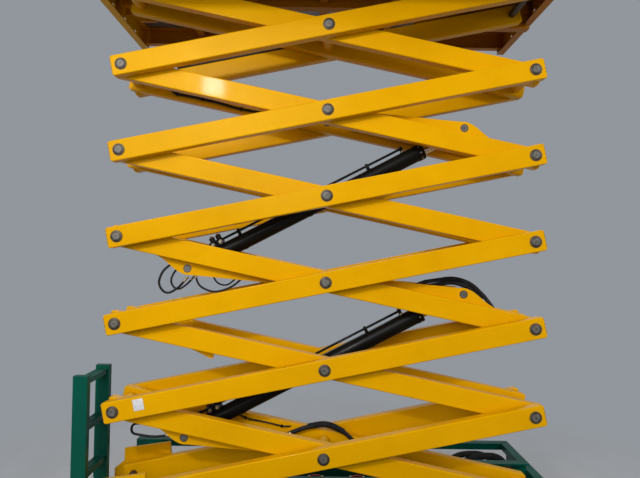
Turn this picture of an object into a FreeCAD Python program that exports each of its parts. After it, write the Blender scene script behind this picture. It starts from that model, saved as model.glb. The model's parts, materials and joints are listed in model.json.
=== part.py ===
import FreeCAD, Part
import math
import os
import Sketcher

# Electric slab scissor lift with six levels of crossed arms, stood part-way up
# Millimetres, +Z up, +X away from the ladder, origin on the ground under the middle

doc = FreeCAD.newDocument("scissor_lift")
dims = doc.addObject("Spreadsheet::Sheet", "Dims")

DIMENSIONS = [
    # alias, value, what it measures
    ("levels", 6, "crossed pairs of arms, bottom to top"),
    ("stack_x", 20, "middle of the stack along X"),
    ("rest_angle", 11.74, "slope of the arms as the lift stands, degrees"),
    ("pin_height", 550, "lowest row of arm pins above the ground"),
    ("arm_length", 2440, "arm, end pin to end pin"),
    ("arm_depth", 120, "arm section, tall side"),
    ("arm_width", 60, "arm section, narrow side"),
    ("arm_overhang", 60, "arm past its end pins"),
    ("arm_corner", 7, "rounding along the arm's edges"),
    ("cap_corner", 16, "rounding of the arm's ends, seen from the side"),
    ("outer_face", 215, "outside face of the outer arms from the middle plane"),
    ("arm_gap", 5, "running gap between outer and inner arms"),
    ("pin_radius", 22.5, "arm pins"),
    ("pin_fit", 0.3, "running clearance round a pin"),
    ("collar_radius", 34, "collar under a pin's head"),
    ("collar_depth", 4, "collar under a pin's head"),
    ("cap_radius", 23, "pin head"),
    ("cap_depth", 6, "pin head, past its collar"),
    ("tube_radius", 36, "cross tubes of the inner frames"),
    ("brace_radius", 30, "brace tubes of the frames that a cylinder passes through"),
    ("brace_place", 0.9, "brace tubes, share of half the arm"),
    ("bracket_reach", 0.86, "bracket's far end, share of half the arm"),
    ("bracket_root", 0.13, "bracket's near end, share of half the arm"),
    ("eye_along", 816, "cylinder pin from the middle pin, along the arm"),
    ("eye_offset", 102, "cylinder pin from the arm's centre line"),
    ("bracket_thick", 12, "cylinder bracket plate"),
    ("bracket_gap", 0.4, "play between bracket and arm face"),
    ("eye_pin_radius", 20, "cylinder pins"),
    ("eye_radius", 38, "cylinder eyes"),
    ("eye_width", 90, "cylinder eyes, across"),
    ("barrel_radius", 48, "cylinder barrel"),
    ("bore_radius", 38, "cylinder bore"),
    ("rod_radius", 30, "cylinder rod"),
    ("barrel_closed", 12, "rod eye to the gland face, cylinder fully in"),
    ("stroke_in", 214, "stroke from the rest pose to fully in"),
    ("pipe_radius", 7.5, "hydraulic pipe along the barrel"),
    ("hose_radius", 7, "hydraulic hoses"),
    ("roller_radius", 50, "track rollers"),
    ("roller_width", 45, "track rollers"),
    ("roller_play", 0.5, "roller to track flange"),
    ("slope_low", 3.2, "slope of the arms, lift folded, degrees"),
    ("slope_high", 40, "slope of the arms, lift raised, degrees"),
    ("track_spare", 46, "track past the roller at both ends of its travel"),
    ("rail_inner", 222, "near face of the main rails from the middle plane"),
    ("rail_width", 60, "main rails"),
    ("rail_wall", 10, "track channel flange and web"),
    ("rail_bottom", 330, "underside of the chassis main rails"),
    ("half_width", 800, "chassis and platform, middle plane to side"),
    ("chassis_back", 190, "chassis past the arms' end pins, ladder end"),
    ("chassis_front", 209, "chassis past the arms' end pins, steering end"),
    ("rim_top", 552, "top of the chassis rim"),
    ("rim_depth", 46, "rim bar, tall side"),
    ("rim_width", 60, "rim bar, flat side"),
    ("plate", 10, "chassis end and cross plates"),
    ("end_recess", 27, "ladder end plate in from the ends of the rim"),
    ("end_bottom", 250, "lower edge of the end plates"),
    ("end_top", 430, "upper edge of the ladder end plate"),
    ("base_plate", 20, "plates that hold the fixed end of the arms"),
    ("base_gap", 7, "base plates outside the main rails' near face"),
    ("skirt_bottom", 135, "lower edge of the chassis sides"),
    ("tie_radius", 17, "tie-down holes in the end plates"),
    ("tie_y", 600, "tie-down holes from the middle plane"),
    ("tie_height", 300, "tie-down holes above the ground"),
    ("axle_x", 1025, "axles from the stack middle"),
    ("wheel_radius", 203, "wheels over the tyre"),
    ("wheel_width", 127, "tyre"),
    ("wheel_inner", 665, "inside face of the wheels from the middle plane"),
    ("rim_radius", 140, "wheel disc"),
    ("hub_radius", 62, "wheel hub"),
    ("kingpin_y", 600, "steering axis from the middle plane"),
    ("fork_plate", 14, "axle fork plates above and below the knuckles"),
    ("kingpin_radius", 14, "kingpins"),
    ("knuckle_radius", 32, "knuckle barrels"),
    ("knuckle_half", 42, "knuckle barrels, half their height"),
    ("steer_arm", 150, "steering arms, kingpin to tie rod pin"),
    ("arch_half", 295, "wheel arch, half its length"),
    ("door_thick", 28, "compartment doors"),
    ("door_pin", 6, "door hinge pins"),
    ("ladder_depth", 84, "ladder stiles along X"),
    ("ladder_stile", 40, "ladder stiles across"),
    ("ladder_pitch", 302, "ladder stiles, middle to middle"),
    ("ladder_top", 1235, "top of the ladder"),
    ("ladder_foot", 398, "lowest rung top"),
    ("rung_pitch", 272, "rungs, top to top"),
    ("rungs", 4, "rungs, the top one included"),
    ("rung_depth", 32, "rungs, tall side"),
    ("deck_rise", 150, "platform floor above the top pins"),
    ("deck_plate", 6, "platform floor plate"),
    ("platform_back", 234, "platform past the arms' end pins, ladder end"),
    ("platform_front", 176, "platform past the arms' end pins, steering end"),
    ("beam_drop", 10, "end beams below the top pins"),
    ("beam_width", 50, "platform beams' flanges"),
    ("beam_web", 6, "platform beams' walls"),
    ("slot_length", 40, "slots in the end beams' webs"),
    ("slot_height", 14, "slots in the end beams' webs"),
    ("slot_pitch", 200, "slots in the end beams' webs, middle to middle"),
    ("rail_height", 1100, "guard rails above the floor"),
    ("mid_rail", 550, "middle rails above the floor"),
    ("rail_tube", 19, "guard rail tube radius"),
    ("toe_board", 150, "toe boards above the floor"),
    ("gate_width", 560, "gate between its posts"),
    ("extension_length", 1120, "roll-out deck"),
    ("extension_gap", 60, "roll-out deck inside the fixed rails"),
]
for row, (alias, value, note) in enumerate(DIMENSIONS, start=1):
    dims.set(f"A{row}", alias)
    dims.set(f"B{row}", str(value))
    dims.set(f"C{row}", note)
    dims.setAlias(f"B{row}", alias)
doc.recompute()

# Expressions used by several pieces
RISE = "Dims.arm_length * sin(Dims.rest_angle)"
HALF_SPAN = "Dims.arm_length * cos(Dims.rest_angle) / 2"
LEFT = f"(Dims.stack_x - {HALF_SPAN})"
RIGHT = f"(Dims.stack_x + {HALF_SPAN})"
TOP = f"(Dims.pin_height + Dims.levels * {RISE})"
OUTER_IN = "(Dims.outer_face - Dims.arm_width)"
INNER_IN = "(Dims.outer_face - 2 * Dims.arm_width - Dims.arm_gap)"
BORE = "(Dims.pin_radius + Dims.pin_fit)"
LEVELS = range(1, int(dims.get("levels")) + 1)
X_AXIS = FreeCAD.Rotation(FreeCAD.Vector(0, 1, 0), 90)
Y_AXIS = FreeCAD.Rotation(FreeCAD.Vector(1, 0, 0), -90)
Z_AXIS = FreeCAD.Rotation()

sub_parts = []


def value(expression):
    return float(dims.evalExpression(str(expression)))


def bind_base(item, at):
    for letter, expression in zip("xyz", at):
        item.setExpression(f"Placement.Base.{letter}", str(expression))


def box(name, size, at):
    """A block from its lowest corner."""
    item = doc.addObject("Part::Box", name)
    for side, expression in zip(("Length", "Width", "Height"), size):
        item.setExpression(side, str(expression))
    bind_base(item, at)
    return item


def rod(name, radius, length, at, turn=Y_AXIS):
    """A cylinder from the middle of its first end."""
    item = doc.addObject("Part::Cylinder", name)
    item.Placement = FreeCAD.Placement(FreeCAD.Vector(), turn)
    item.setExpression("Radius", str(radius))
    item.setExpression("Height", str(length))
    bind_base(item, at)
    return item


def cross_rod(name, radius, half_length, x="0", z="0"):
    """A cylinder across the machine, centred on the middle plane."""
    return rod(name, radius, f"2 * {half_length}", (x, f"-({half_length})", z))


def cut(name, base, tools):
    item = doc.addObject("Part::Cut", name)
    item.Base = base
    item.Tool = tools[0] if len(tools) == 1 else join(f"{name}_tools", tools)
    return item


def join(name, pieces):
    item = doc.addObject("Part::MultiFuse", name)
    item.Shapes = pieces
    item.Refine = True
    return item


def mirrored(name, piece, normal=(0, 1, 0)):
    item = doc.addObject("Part::Mirroring", name)
    item.Source = piece
    item.Base = FreeCAD.Vector()
    item.Normal = FreeCAD.Vector(*normal)
    return item


def pair(name, piece):
    """A piece of the +Y side and its mirror image."""
    return [piece, mirrored(f"{name}_mirror", piece)]


def plate(name, outline, thickness, start):
    """A flat plate in the XZ plane: its outline, its thickness towards +Y and where it starts."""
    body = doc.addObject("PartDesign::Body", name)
    sketch = body.newObject("Sketcher::SketchObject", f"{name}_outline")
    plane = [item for item in body.Origin.OriginFeatures if item.Role == "XZ_Plane"][0]
    sketch.AttachmentSupport = [(plane, "")]
    sketch.MapMode = "FlatFace"
    corners = [FreeCAD.Vector(value(x), value(z), 0) for x, z in outline]
    for index, corner in enumerate(corners):
        sketch.addGeometry(Part.LineSegment(corner, corners[(index + 1) % len(corners)]))
    for index, (x, z) in enumerate(outline):
        sketch.addConstraint(Sketcher.Constraint("Coincident", index, 2, (index + 1) % len(outline), 1))
        for kind, expression in (("DistanceX", x), ("DistanceY", z)):
            number = sketch.addConstraint(Sketcher.Constraint(kind, -1, 1, index, 1, value(expression)))
            sketch.renameConstraint(number, f"{kind}_{index}")
            sketch.setExpression(f"Constraints.{kind}_{index}", str(expression))
    pad = body.newObject("PartDesign::Pad", f"{name}_pad")
    pad.Profile = sketch
    pad.Reversed = True
    pad.setExpression("Length", str(thickness))
    body.setExpression("Placement.Base.y", str(start))
    return body


def sub_part(label, pieces, at=("0", "0", "0"), turn="0"):
    """A named sub-part: its pieces, placed at a point and turned about the cross axis."""
    item = doc.addObject("Part::Compound", label)
    item.Label = label
    item.Links = pieces
    item.setExpression(
        "Placement",
        f"create(<<placement>>; create(<<vector>>; {at[0]}; {at[1]}; {at[2]}); "
        f"create(<<rotation>>; create(<<vector>>; 0; 1; 0); {turn}))",
    )
    sub_parts.append(item)
    return item


def level_height(level, half_steps=0):
    """Height of the pins under a level, plus half steps of one level's rise."""
    return f"Dims.pin_height + {level - 1 + half_steps / 2} * {RISE}"


# Arms, in the frame of one arm: X along it, the middle pin at the origin


def rounded(body, name, radius, picks):
    """Rounds a plate's edges, those across it or those round its two faces."""
    base = body.Tip
    wanted = []
    for index, edge in enumerate(base.Shape.Edges, start=1):
        first, last = edge.Vertexes[0].Point, edge.Vertexes[-1].Point
        across = abs(first.y - last.y) > 1
        if across == (picks == "across"):
            wanted.append(f"Edge{index}")
    fillet = body.newObject("PartDesign::Fillet", name)
    fillet.Base = (base, wanted)
    fillet.Radius = value(radius)
    fillet.setExpression("Radius", radius)
    doc.recompute()


def arm(name, face, bores):
    """One closed capped tube with its pin bores."""
    half = "(Dims.arm_length / 2 + Dims.arm_overhang)"
    low, high = "-Dims.arm_depth / 2", "Dims.arm_depth / 2"
    outline = [(f"-{half}", low), (half, low), (half, high), (f"-{half}", high)]
    blank = plate(f"{name}_blank", outline, "Dims.arm_width", face)
    doc.recompute()
    rounded(blank, f"{name}_caps", "Dims.cap_corner", "across")
    rounded(blank, f"{name}_edges", "Dims.arm_corner", "faces")
    holes = [rod(f"{name}_bore_{index}", BORE, "Dims.arm_width + 2", (x, f"{face} - 1", "0"))
             for index, x in enumerate(bores)]
    return cut(name, blank, holes)


END = "Dims.arm_length / 2"
outer_arm = arm("outer_arm", OUTER_IN, (f"-{END}", "0", END))
outer_pair = pair("outer_arm", outer_arm)
inner_arm = arm("inner_arm", INNER_IN, (f"-{END}", "0", END))
inner_pair = pair("inner_arm", inner_arm)


def cross_tube(name, x):
    """A bored tube welded between the two inner arms."""
    body = cross_rod(f"{name}_body", "Dims.tube_radius", INNER_IN, x)
    bore = cross_rod(f"{name}_bore", BORE, f"({INNER_IN} + 1)", x)
    return cut(name, body, [bore])


end_tubes = [cross_tube("low_end_tube", f"-{END}"), cross_tube("high_end_tube", END)]
middle_tube = cross_tube("middle_tube", "0")
brace_tubes = [
    cross_rod("brace_tube_low", "Dims.brace_radius", INNER_IN, f"-Dims.brace_place * {END}"),
    cross_rod("brace_tube_high", "Dims.brace_radius", INNER_IN, f"Dims.brace_place * {END}"),
]
inner_frame = join("inner_frame", inner_pair + end_tubes + [middle_tube])
open_inner_frame = join("open_inner_frame", inner_pair + end_tubes + brace_tubes)
CYLINDER_LEVELS = (2, 3, 4, 5)

for level in LEVELS:
    centre = ("Dims.stack_x", "0", level_height(level, 1))
    sub_part(f"outer_arms_{level}", outer_pair, centre, "-Dims.rest_angle")
    frame = open_inner_frame if level in CYLINDER_LEVELS else inner_frame
    sub_part(f"inner_arms_{level}", [frame], centre, "Dims.rest_angle")

# Arm pins: full shafts at the arm ends, short stubs at the middle


def pin_head(name, x, start):
    """A round head on its wider collar, towards +Y."""
    collar = rod(f"{name}_collar", "Dims.collar_radius", "Dims.collar_depth", (x, start, "0"))
    cap = rod(f"{name}_cap", "Dims.cap_radius", "Dims.cap_depth", (x, f"{start} + Dims.collar_depth", "0"))
    return [collar, cap]


def headed_shaft(name, x, half_length="Dims.outer_face"):
    """A pin right across the machine with a head at each end."""
    shaft = cross_rod(f"{name}_shaft", "Dims.pin_radius", half_length, x)
    head = join(f"{name}_head", pin_head(name, x, half_length))
    return join(name, [shaft] + pair(f"{name}_head", head))


def middle_stubs(name):
    stub = rod(f"{name}_stub", "Dims.pin_radius", f"Dims.outer_face - {INNER_IN} - 2",
               ("0", f"{INNER_IN} + 2", "0"))
    return pair(name, join(name, [stub] + pin_head(name, "0", "Dims.outer_face")))


BASE_IN = "(Dims.rail_inner + Dims.base_gap)"
PIVOT_OUT = f"({BASE_IN} + Dims.base_plate + 1)"
ROLLER_IN = "(Dims.rail_inner + 4)"
ROLLER_OUT = "(Dims.rail_inner + 4 + Dims.roller_width)"


def roller_shaft(name, x):
    """A shaft with a track roller at each end."""
    shaft = cross_rod(f"{name}_shaft", "Dims.pin_radius", ROLLER_OUT, x)
    roller = rod(f"{name}_roller", "Dims.roller_radius", "Dims.roller_width", (x, ROLLER_IN, "0"))
    return join(name, [shaft] + pair(f"{name}_roller", roller))


stubs = middle_stubs("middle_pin")
low_shaft = headed_shaft("low_pin", f"-{END}")
high_shaft = headed_shaft("high_pin", END)
base_shaft = headed_shaft("base_pin", f"-{END}", PIVOT_OUT)
top_roller = roller_shaft("top_roller", END)
for level in LEVELS:
    low = base_shaft if level == 1 else low_shaft
    high = top_roller if level == LEVELS[-1] else high_shaft
    sub_part(f"outer_pins_{level}", [low, high] + stubs, ("Dims.stack_x", "0", level_height(level, 1)),
             "-Dims.rest_angle")
base_roller = roller_shaft("base_roller", END)
sub_part("base_rollers", [base_roller], ("Dims.stack_x", "0", level_height(1, 1)), "Dims.rest_angle")

# Cylinder brackets: plates welded inside the inner arms, rounded over the pin and swept down to the arm
BRACKET_IN = f"({INNER_IN} - Dims.bracket_gap - Dims.bracket_thick)"
CYLINDER_FEET = (1, 3)


def bracket(name):
    """The plate above the arm's right half."""
    reach = "Dims.bracket_reach * Dims.arm_length / 2"
    root = "Dims.bracket_root * Dims.arm_length / 2"
    crown = "(Dims.eye_offset + Dims.eye_radius)"
    drop = f"({crown} - Dims.arm_depth / 2)"
    sweep = f"({reach} - Dims.eye_along)"
    outline = [(root, "-Dims.arm_depth / 6"), (reach, "-Dims.arm_depth / 6"),
               (reach, "Dims.arm_depth / 2 - 4")]
    for along, share in ((0.84, 0.05), (0.68, 0.2), (0.5, 0.46), (0.34, 0.72), (0.2, 0.9), (0.08, 0.985)):
        outline.append((f"Dims.eye_along + {along} * {sweep}", f"Dims.arm_depth / 2 + {share} * {drop}"))
    outline += [("Dims.eye_along - 4", crown), ("Dims.eye_along - Dims.eye_radius * 0.8", f"{crown} - 5"),
                (root, "Dims.arm_depth / 2")]
    return plate(name, outline, "Dims.bracket_thick", BRACKET_IN)


upper_bracket = bracket("upper_bracket")
upper_bore = rod("upper_bracket_bore", "Dims.eye_pin_radius + Dims.pin_fit", "Dims.bracket_thick + 2",
                 ("Dims.eye_along", f"{BRACKET_IN} - 1", "Dims.eye_offset"))
upper_plate = cut("upper_plate", upper_bracket, [upper_bore])
lower_plate = mirrored("lower_plate_turned", mirrored("lower_plate", upper_plate, (1, 0, 0)), (0, 0, 1))
upper_plates = pair("upper_plates", upper_plate)
lower_plates = pair("lower_plates", lower_plate)
for level in (1, 3, 5):
    plates = (lower_plates if level in CYLINDER_FEET else []) + (upper_plates if level > 1 else [])
    sub_part(f"cylinder_brackets_{level}", plates, ("Dims.stack_x", "0", level_height(level, 1)),
             "Dims.rest_angle")

# Hydraulic hoses, each clipped or screwed to one body at both its ends


def hose(name, points, radius):
    """A bent tube through points, with each corner as round as its two runs allow."""
    stops = [FreeCAD.Vector(*point) for point in points]
    pieces = []
    start = stops[0]
    for index, corner in enumerate(stops[1:-1], start=1):
        way_in = (corner - stops[index - 1]).normalize()
        way_out = (stops[index + 1] - corner).normalize()
        reach = 0.45 * min((corner - stops[index - 1]).Length, (stops[index + 1] - corner).Length)
        turn = way_in.getAngle(way_out)
        bend = reach / math.tan(turn / 2)
        entry = corner - way_in * reach
        normal = way_in.cross(way_out).normalize()
        inward = normal.cross(way_in)
        centre = entry + inward * bend
        pieces.append(run(f"{name}_run_{index}", start, entry, radius))
        arc = doc.addObject("Part::Torus", f"{name}_arc_{index}")
        arc.Radius1 = bend
        arc.setExpression("Radius2", radius)
        arc.Angle3 = math.degrees(turn)
        arc.Placement = FreeCAD.Placement(centre, FreeCAD.Rotation(inward * -1, way_in, normal, "ZXY"))
        pieces.append(arc)
        start = corner + way_out * reach
    pieces.append(run(f"{name}_run_last", start, stops[-1], radius))
    return join(name, pieces)


def run(name, start, end, radius):
    """A straight stretch of tube between two points."""
    item = doc.addObject("Part::Cylinder", name)
    item.setExpression("Radius", radius)
    item.Height = (end - start).Length
    item.Placement = FreeCAD.Placement(start, FreeCAD.Rotation(FreeCAD.Vector(0, 0, 1), end - start))
    return item


STACK_HOSES = [
    # level, name, radius, points in the inner arm's frame; both ends lie against a bracket or an arm
    (3, "loop_near", "Dims.hose_radius",
     [(-880, -70.3, -50), (-965, -66, -150), (-975, -60, -235), (-915, -52, -285), (-850, -58, -230),
      (-812, -70.3, -160)]),
    (3, "loop_far", "Dims.hose_radius - 1",
     [(-860, 71.3, -60), (-930, 66, -150), (-940, 62, -220), (-885, 58, -262), (-835, 60, -215),
      (-800, 71.3, -150)]),
    (3, "sag_near", "Dims.hose_radius - 1",
     [(-770, -71.3, -120), (-735, -66, -190), (-640, -66, -212), (-540, -68, -160), (-460, -71.3, -50)]),
    (3, "sag_far", "Dims.hose_radius - 2",
     [(-700, 72.3, -110), (-655, 66, -165), (-590, 66, -168), (-500, 72.3, -50)]),
    (3, "crest", "Dims.hose_radius + 5",
     [(470, -65.3, 40), (560, -64, 118), (745, -64, 186), (850, -64, 176), (960, -64, 108),
      (1050, -65.3, 20)]),
    (1, "hairpin", "Dims.hose_radius",
     [(-900, -70.3, -40), (-1010, -66, -60), (-1140, -60, -100), (-1135, -50, -160), (-1000, -56, -150),
      (-900, -70.3, -110)]),
    (1, "arch", "Dims.hose_radius + 6",
     [(-230, 64.3, -10), (-130, 64, 60), (0, 66, 112), (130, 70, 80), (230, 76.7, 0)]),
]
for level in CYLINDER_FEET:
    hoses = [hose(name, points, radius) for foot, name, radius, points in STACK_HOSES if foot == level]
    sub_part(f"hoses_inner_{level}", hoses, ("Dims.stack_x", "0", level_height(level, 1)), "Dims.rest_angle")

# Lift cylinders, in their own frame: X from the cap pin to the rod pin
EYE_SPAN_X = "(2 * Dims.eye_along * cos(Dims.rest_angle) + 2 * Dims.eye_offset * sin(Dims.rest_angle))"
EYE_SPAN_Z = (f"(-2 * Dims.eye_along * sin(Dims.rest_angle) + 2 * Dims.eye_offset * cos(Dims.rest_angle)"
              f" + 2 * {RISE})")
CYLINDER_SLOPE = f"atan2({EYE_SPAN_Z}; {EYE_SPAN_X})"
CYLINDER_LENGTH = f"sqrt({EYE_SPAN_X} ^ 2 + {EYE_SPAN_Z} ^ 2)"
EYE_HALF = "Dims.eye_width / 2"
BARREL = f"({CYLINDER_LENGTH} - Dims.stroke_in - Dims.barrel_closed - Dims.eye_radius)"
PISTON = "0.28 * " + BARREL

barrel_tube = rod("barrel_tube", "Dims.barrel_radius", f"{BARREL} - Dims.eye_radius",
                  ("Dims.eye_radius", "0", "0"), X_AXIS)
barrel_eye = cross_rod("barrel_eye", "Dims.eye_radius", EYE_HALF)
barrel_pin_bore = cross_rod("barrel_pin_bore", "Dims.eye_pin_radius + Dims.pin_fit", f"({EYE_HALF} + 1)")
barrel_cap = rod("barrel_cap", "Dims.barrel_radius + 3", "26", ("Dims.eye_radius", "0", "0"), X_AXIS)
gland = rod("gland", "Dims.barrel_radius + 2.5", "44", (f"{BARREL} - 44", "0", "0"), X_AXIS)
barrel_bore = rod("barrel_bore", "Dims.bore_radius", f"{BARREL} - Dims.eye_radius",
                  ("Dims.eye_radius + 40", "0", "0"),
                  X_AXIS)
barrel = cut("barrel", join("barrel_blank", [barrel_tube, barrel_eye, barrel_cap, gland]),
             [barrel_pin_bore, barrel_bore])
PIPE_Z = "Dims.barrel_radius + Dims.pipe_radius + 16"
pipe = rod("pipe", "Dims.pipe_radius", f"{BARREL} - 212", ("110", "0", PIPE_Z), X_AXIS)
PORT = "Dims.pipe_radius + 2.5"
port_low = rod("pipe_port_low", PORT, "Dims.pipe_radius + 35", ("122", "0", "Dims.barrel_radius - 6"), Z_AXIS)
port_high = rod("pipe_port_high", PORT, "Dims.pipe_radius + 35",
                (f"{BARREL} - 114", "0", "Dims.barrel_radius - 6"), Z_AXIS)
valve = box("valve", ("84", "64", "40"), ("170", "-32", "Dims.barrel_radius - 8"))
barrel_with_pipe = join("barrel_with_pipe", [barrel, valve, pipe, port_low, port_high])
gland_rod_bore = rod("gland_rod_bore", "Dims.rod_radius + Dims.pin_fit", "70", (f"{BARREL} - 65", "0", "0"),
                     X_AXIS)
gland_blank = rod("gland_ring_blank", "Dims.bore_radius + 3", "40", (f"{BARREL} - 42", "0", "0"), X_AXIS)
gland_ring = cut("gland_ring", gland_blank, [gland_rod_bore])
barrel_done = join("barrel_done", [barrel_with_pipe, gland_ring])

rod_bar = rod("rod_bar", "Dims.rod_radius", f"{CYLINDER_LENGTH} - {PISTON} - 60",
              (f"{PISTON} + 60", "0", "0"), X_AXIS)
piston = rod("piston", "Dims.bore_radius - Dims.pin_fit", "62", (PISTON, "0", "0"), X_AXIS)
rod_eye = cross_rod("rod_eye", "Dims.eye_radius", EYE_HALF, CYLINDER_LENGTH)
rod_pin_bore = cross_rod("rod_pin_bore", "Dims.eye_pin_radius", f"({EYE_HALF} + 1)", CYLINDER_LENGTH)
piston_rod = cut("piston_rod", join("piston_rod_blank", [rod_bar, piston, rod_eye]), [rod_pin_bore])

# Cap pins go through both bracket plates; the rod eye's pin is split between rod and bracket
cap_pin = cross_rod("cap_pin", "Dims.eye_pin_radius", INNER_IN)
rod_pin = cross_rod("rod_pin", "Dims.eye_pin_radius", f"({EYE_HALF} + 4)", CYLINDER_LENGTH)
rod_pin_cap = rod("rod_pin_cap", "Dims.eye_pin_radius", "Dims.bracket_thick",
                  ("Dims.eye_along", BRACKET_IN, "Dims.eye_offset"))
for number, level in enumerate(CYLINDER_FEET, start=1):
    cap_x = (f"(Dims.stack_x - Dims.eye_along * cos(Dims.rest_angle)"
             f" - Dims.eye_offset * sin(Dims.rest_angle))")
    cap_z = (f"({level_height(level, 1)} + Dims.eye_along * sin(Dims.rest_angle)"
             f" - Dims.eye_offset * cos(Dims.rest_angle))")
    place = (cap_x, "0", cap_z)
    sub_part(f"cylinder_barrel_{number}", [barrel_done], place, f"-{CYLINDER_SLOPE}")
    sub_part(f"cylinder_rod_{number}", [piston_rod, rod_pin], place, f"-{CYLINDER_SLOPE}")
    sub_part(f"cylinder_pin_{number}", [cap_pin], place)
    sub_part(f"rod_pin_caps_{number}", pair(f"rod_pin_caps_{number}", rod_pin_cap),
             ("Dims.stack_x", "0", level_height(level + 2, 1)), "Dims.rest_angle")

# Tracks: channels that the rollers run in, open towards the middle
TRACK_HALF = "(Dims.roller_radius + Dims.roller_play)"
TRACK_BACK = f"({LEFT} + Dims.arm_length * cos(Dims.slope_high) - Dims.roller_radius - Dims.track_spare)"
TRACK_LENGTH = ("(Dims.arm_length * (cos(Dims.slope_low) - cos(Dims.slope_high))"
                " + 2 * (Dims.roller_radius + Dims.track_spare))")


def track(name, height):
    """A channel of the +Y side with its middle at the pins' height."""
    outer = box(f"{name}_outer", (TRACK_LENGTH, "Dims.rail_width", f"2 * ({TRACK_HALF} + Dims.rail_wall)"),
                (TRACK_BACK, "Dims.rail_inner", f"{height} - {TRACK_HALF} - Dims.rail_wall"))
    hollow = box(f"{name}_hollow", (f"{TRACK_LENGTH} + 2", "Dims.rail_width - Dims.rail_wall",
                                    f"2 * {TRACK_HALF}"),
                 (f"{TRACK_BACK} - 1", "Dims.rail_inner", f"{height} - {TRACK_HALF}"))
    return cut(name, outer, [hollow])


def pivot_plate(name, outline, height):
    """A bored plate of the +Y side that holds the fixed end pin."""
    blank = plate(f"{name}_blank", outline, "Dims.base_plate", BASE_IN)
    bore = rod(f"{name}_bore", BORE, "Dims.base_plate + 2", (LEFT, f"{BASE_IN} - 1", height))
    return cut(name, blank, [bore])


# Chassis
BACK = f"({LEFT} - Dims.chassis_back)"
FRONT = f"({RIGHT} + Dims.chassis_front)"
LENGTH = f"({FRONT} - {BACK})"
END_BACK = f"({BACK} + Dims.end_recess)"
RAIL_TOP = f"(Dims.pin_height - {TRACK_HALF} - Dims.rail_wall)"

main_rail = box("main_rail", (f"{FRONT} - {END_BACK} - 2 * Dims.plate", "Dims.rail_width",
                              f"{RAIL_TOP} - Dims.rail_bottom"),
                (f"{END_BACK} + Dims.plate", "Dims.rail_inner", "Dims.rail_bottom"))
base_track = track("base_track", "Dims.pin_height")
rim_outer = box("rim_outer", (LENGTH, "2 * Dims.half_width", "Dims.rim_depth"),
                (BACK, "-Dims.half_width", "Dims.rim_top - Dims.rim_depth"))
rim_hollow = box("rim_hollow", (f"{LENGTH} - Dims.rim_width + 1", "2 * (Dims.half_width - Dims.rim_width)",
                                "Dims.rim_depth + 2"),
                 (f"{BACK} - 1", "-Dims.half_width + Dims.rim_width", "Dims.rim_top - Dims.rim_depth - 1"))
rim = cut("rim", rim_outer, [rim_hollow])
end_back = box("end_back", ("Dims.plate", "2 * (Dims.half_width - 20)", "Dims.end_top - Dims.end_bottom"),
               (END_BACK, "-Dims.half_width + 20", "Dims.end_bottom"))
end_front = box("end_front", ("Dims.plate", "2 * (Dims.half_width - 20)", "Dims.rim_top - Dims.end_bottom"),
                (f"{FRONT} - Dims.plate", "-Dims.half_width + 20", "Dims.end_bottom"))
corner_post = box("corner_post", ("Dims.rim_width", "Dims.rim_width", "Dims.rim_top - Dims.end_bottom"),
                  (BACK, "Dims.half_width - Dims.rim_width", "Dims.end_bottom"))
tie_bores = []
for name, x in (("back", f"{END_BACK} - 1"), ("front", f"{FRONT} - Dims.plate - 1")):
    bore = rod(f"tie_bore_{name}", "Dims.tie_radius", "Dims.plate + 2", (x, "Dims.tie_y", "Dims.tie_height"),
               X_AXIS)
    tie_bores += pair(f"tie_bore_{name}", bore)
end_plates = cut("end_plates", join("end_plates_blank", [end_back, end_front]), tie_bores)
corner_posts = pair("corner_post", corner_post)
cross_plates = []
for index, x in enumerate(("-Dims.axle_x", "-320", "320", "Dims.axle_x")):
    cross_plates.append(box(f"cross_plate_{index}", ("60", "2 * (Dims.rail_inner)", "120"),
                            (f"Dims.stack_x + {x} - 30", "-Dims.rail_inner", "Dims.rail_bottom")))
outriggers = []
for index, x in enumerate(("-Dims.axle_x + Dims.arch_half", "Dims.axle_x - Dims.arch_half - Dims.plate")):
    piece = box(f"outrigger_{index}", ("Dims.plate",
                                       "Dims.half_width - Dims.rail_inner - Dims.rail_width - 40",
                                       "Dims.rim_top - Dims.skirt_bottom"),
                (f"Dims.stack_x + {x}", "Dims.rail_inner + Dims.rail_width", "Dims.skirt_bottom"))
    outriggers += pair(f"outrigger_{index}", piece)
BAY_BACK = "(Dims.stack_x - Dims.axle_x + Dims.arch_half)"
BAY_LENGTH = "(2 * Dims.axle_x - 2 * Dims.arch_half)"
bay_floor = box("bay_floor", (BAY_LENGTH, "Dims.half_width - Dims.rail_inner - Dims.rail_width - 40",
                              "Dims.plate"),
                (BAY_BACK, "Dims.rail_inner + Dims.rail_width", "Dims.skirt_bottom"))
DOOR_X = f"({BAY_BACK} + 28)"
DOOR_Y = "(Dims.half_width - 16)"
DOOR_LOW = "(Dims.skirt_bottom + Dims.plate + 1)"
DOOR_TOP = "(Dims.rim_top - Dims.rim_depth - 6)"
door_pin = rod("door_pin_body", "Dims.door_pin", "Dims.rim_top - Dims.rim_depth - Dims.skirt_bottom",
               (DOOR_X, DOOR_Y, "Dims.skirt_bottom"), Z_AXIS)
door_lug = box("door_lug", ("24", "60", "Dims.plate"),
               (f"{DOOR_X} - 12", f"{DOOR_Y} - 48", "Dims.skirt_bottom"))
door_hinges = pair("door_hinge", join("door_hinge", [door_pin, door_lug]))
chassis_frame = join("chassis_frame_body",
                     [rim, end_plates] + corner_posts + cross_plates + outriggers + door_hinges
                     + pair("main_rail", main_rail) + pair("base_track", base_track)
                     + pair("bay_floor", bay_floor))
sub_part("chassis_frame", [chassis_frame])
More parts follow.
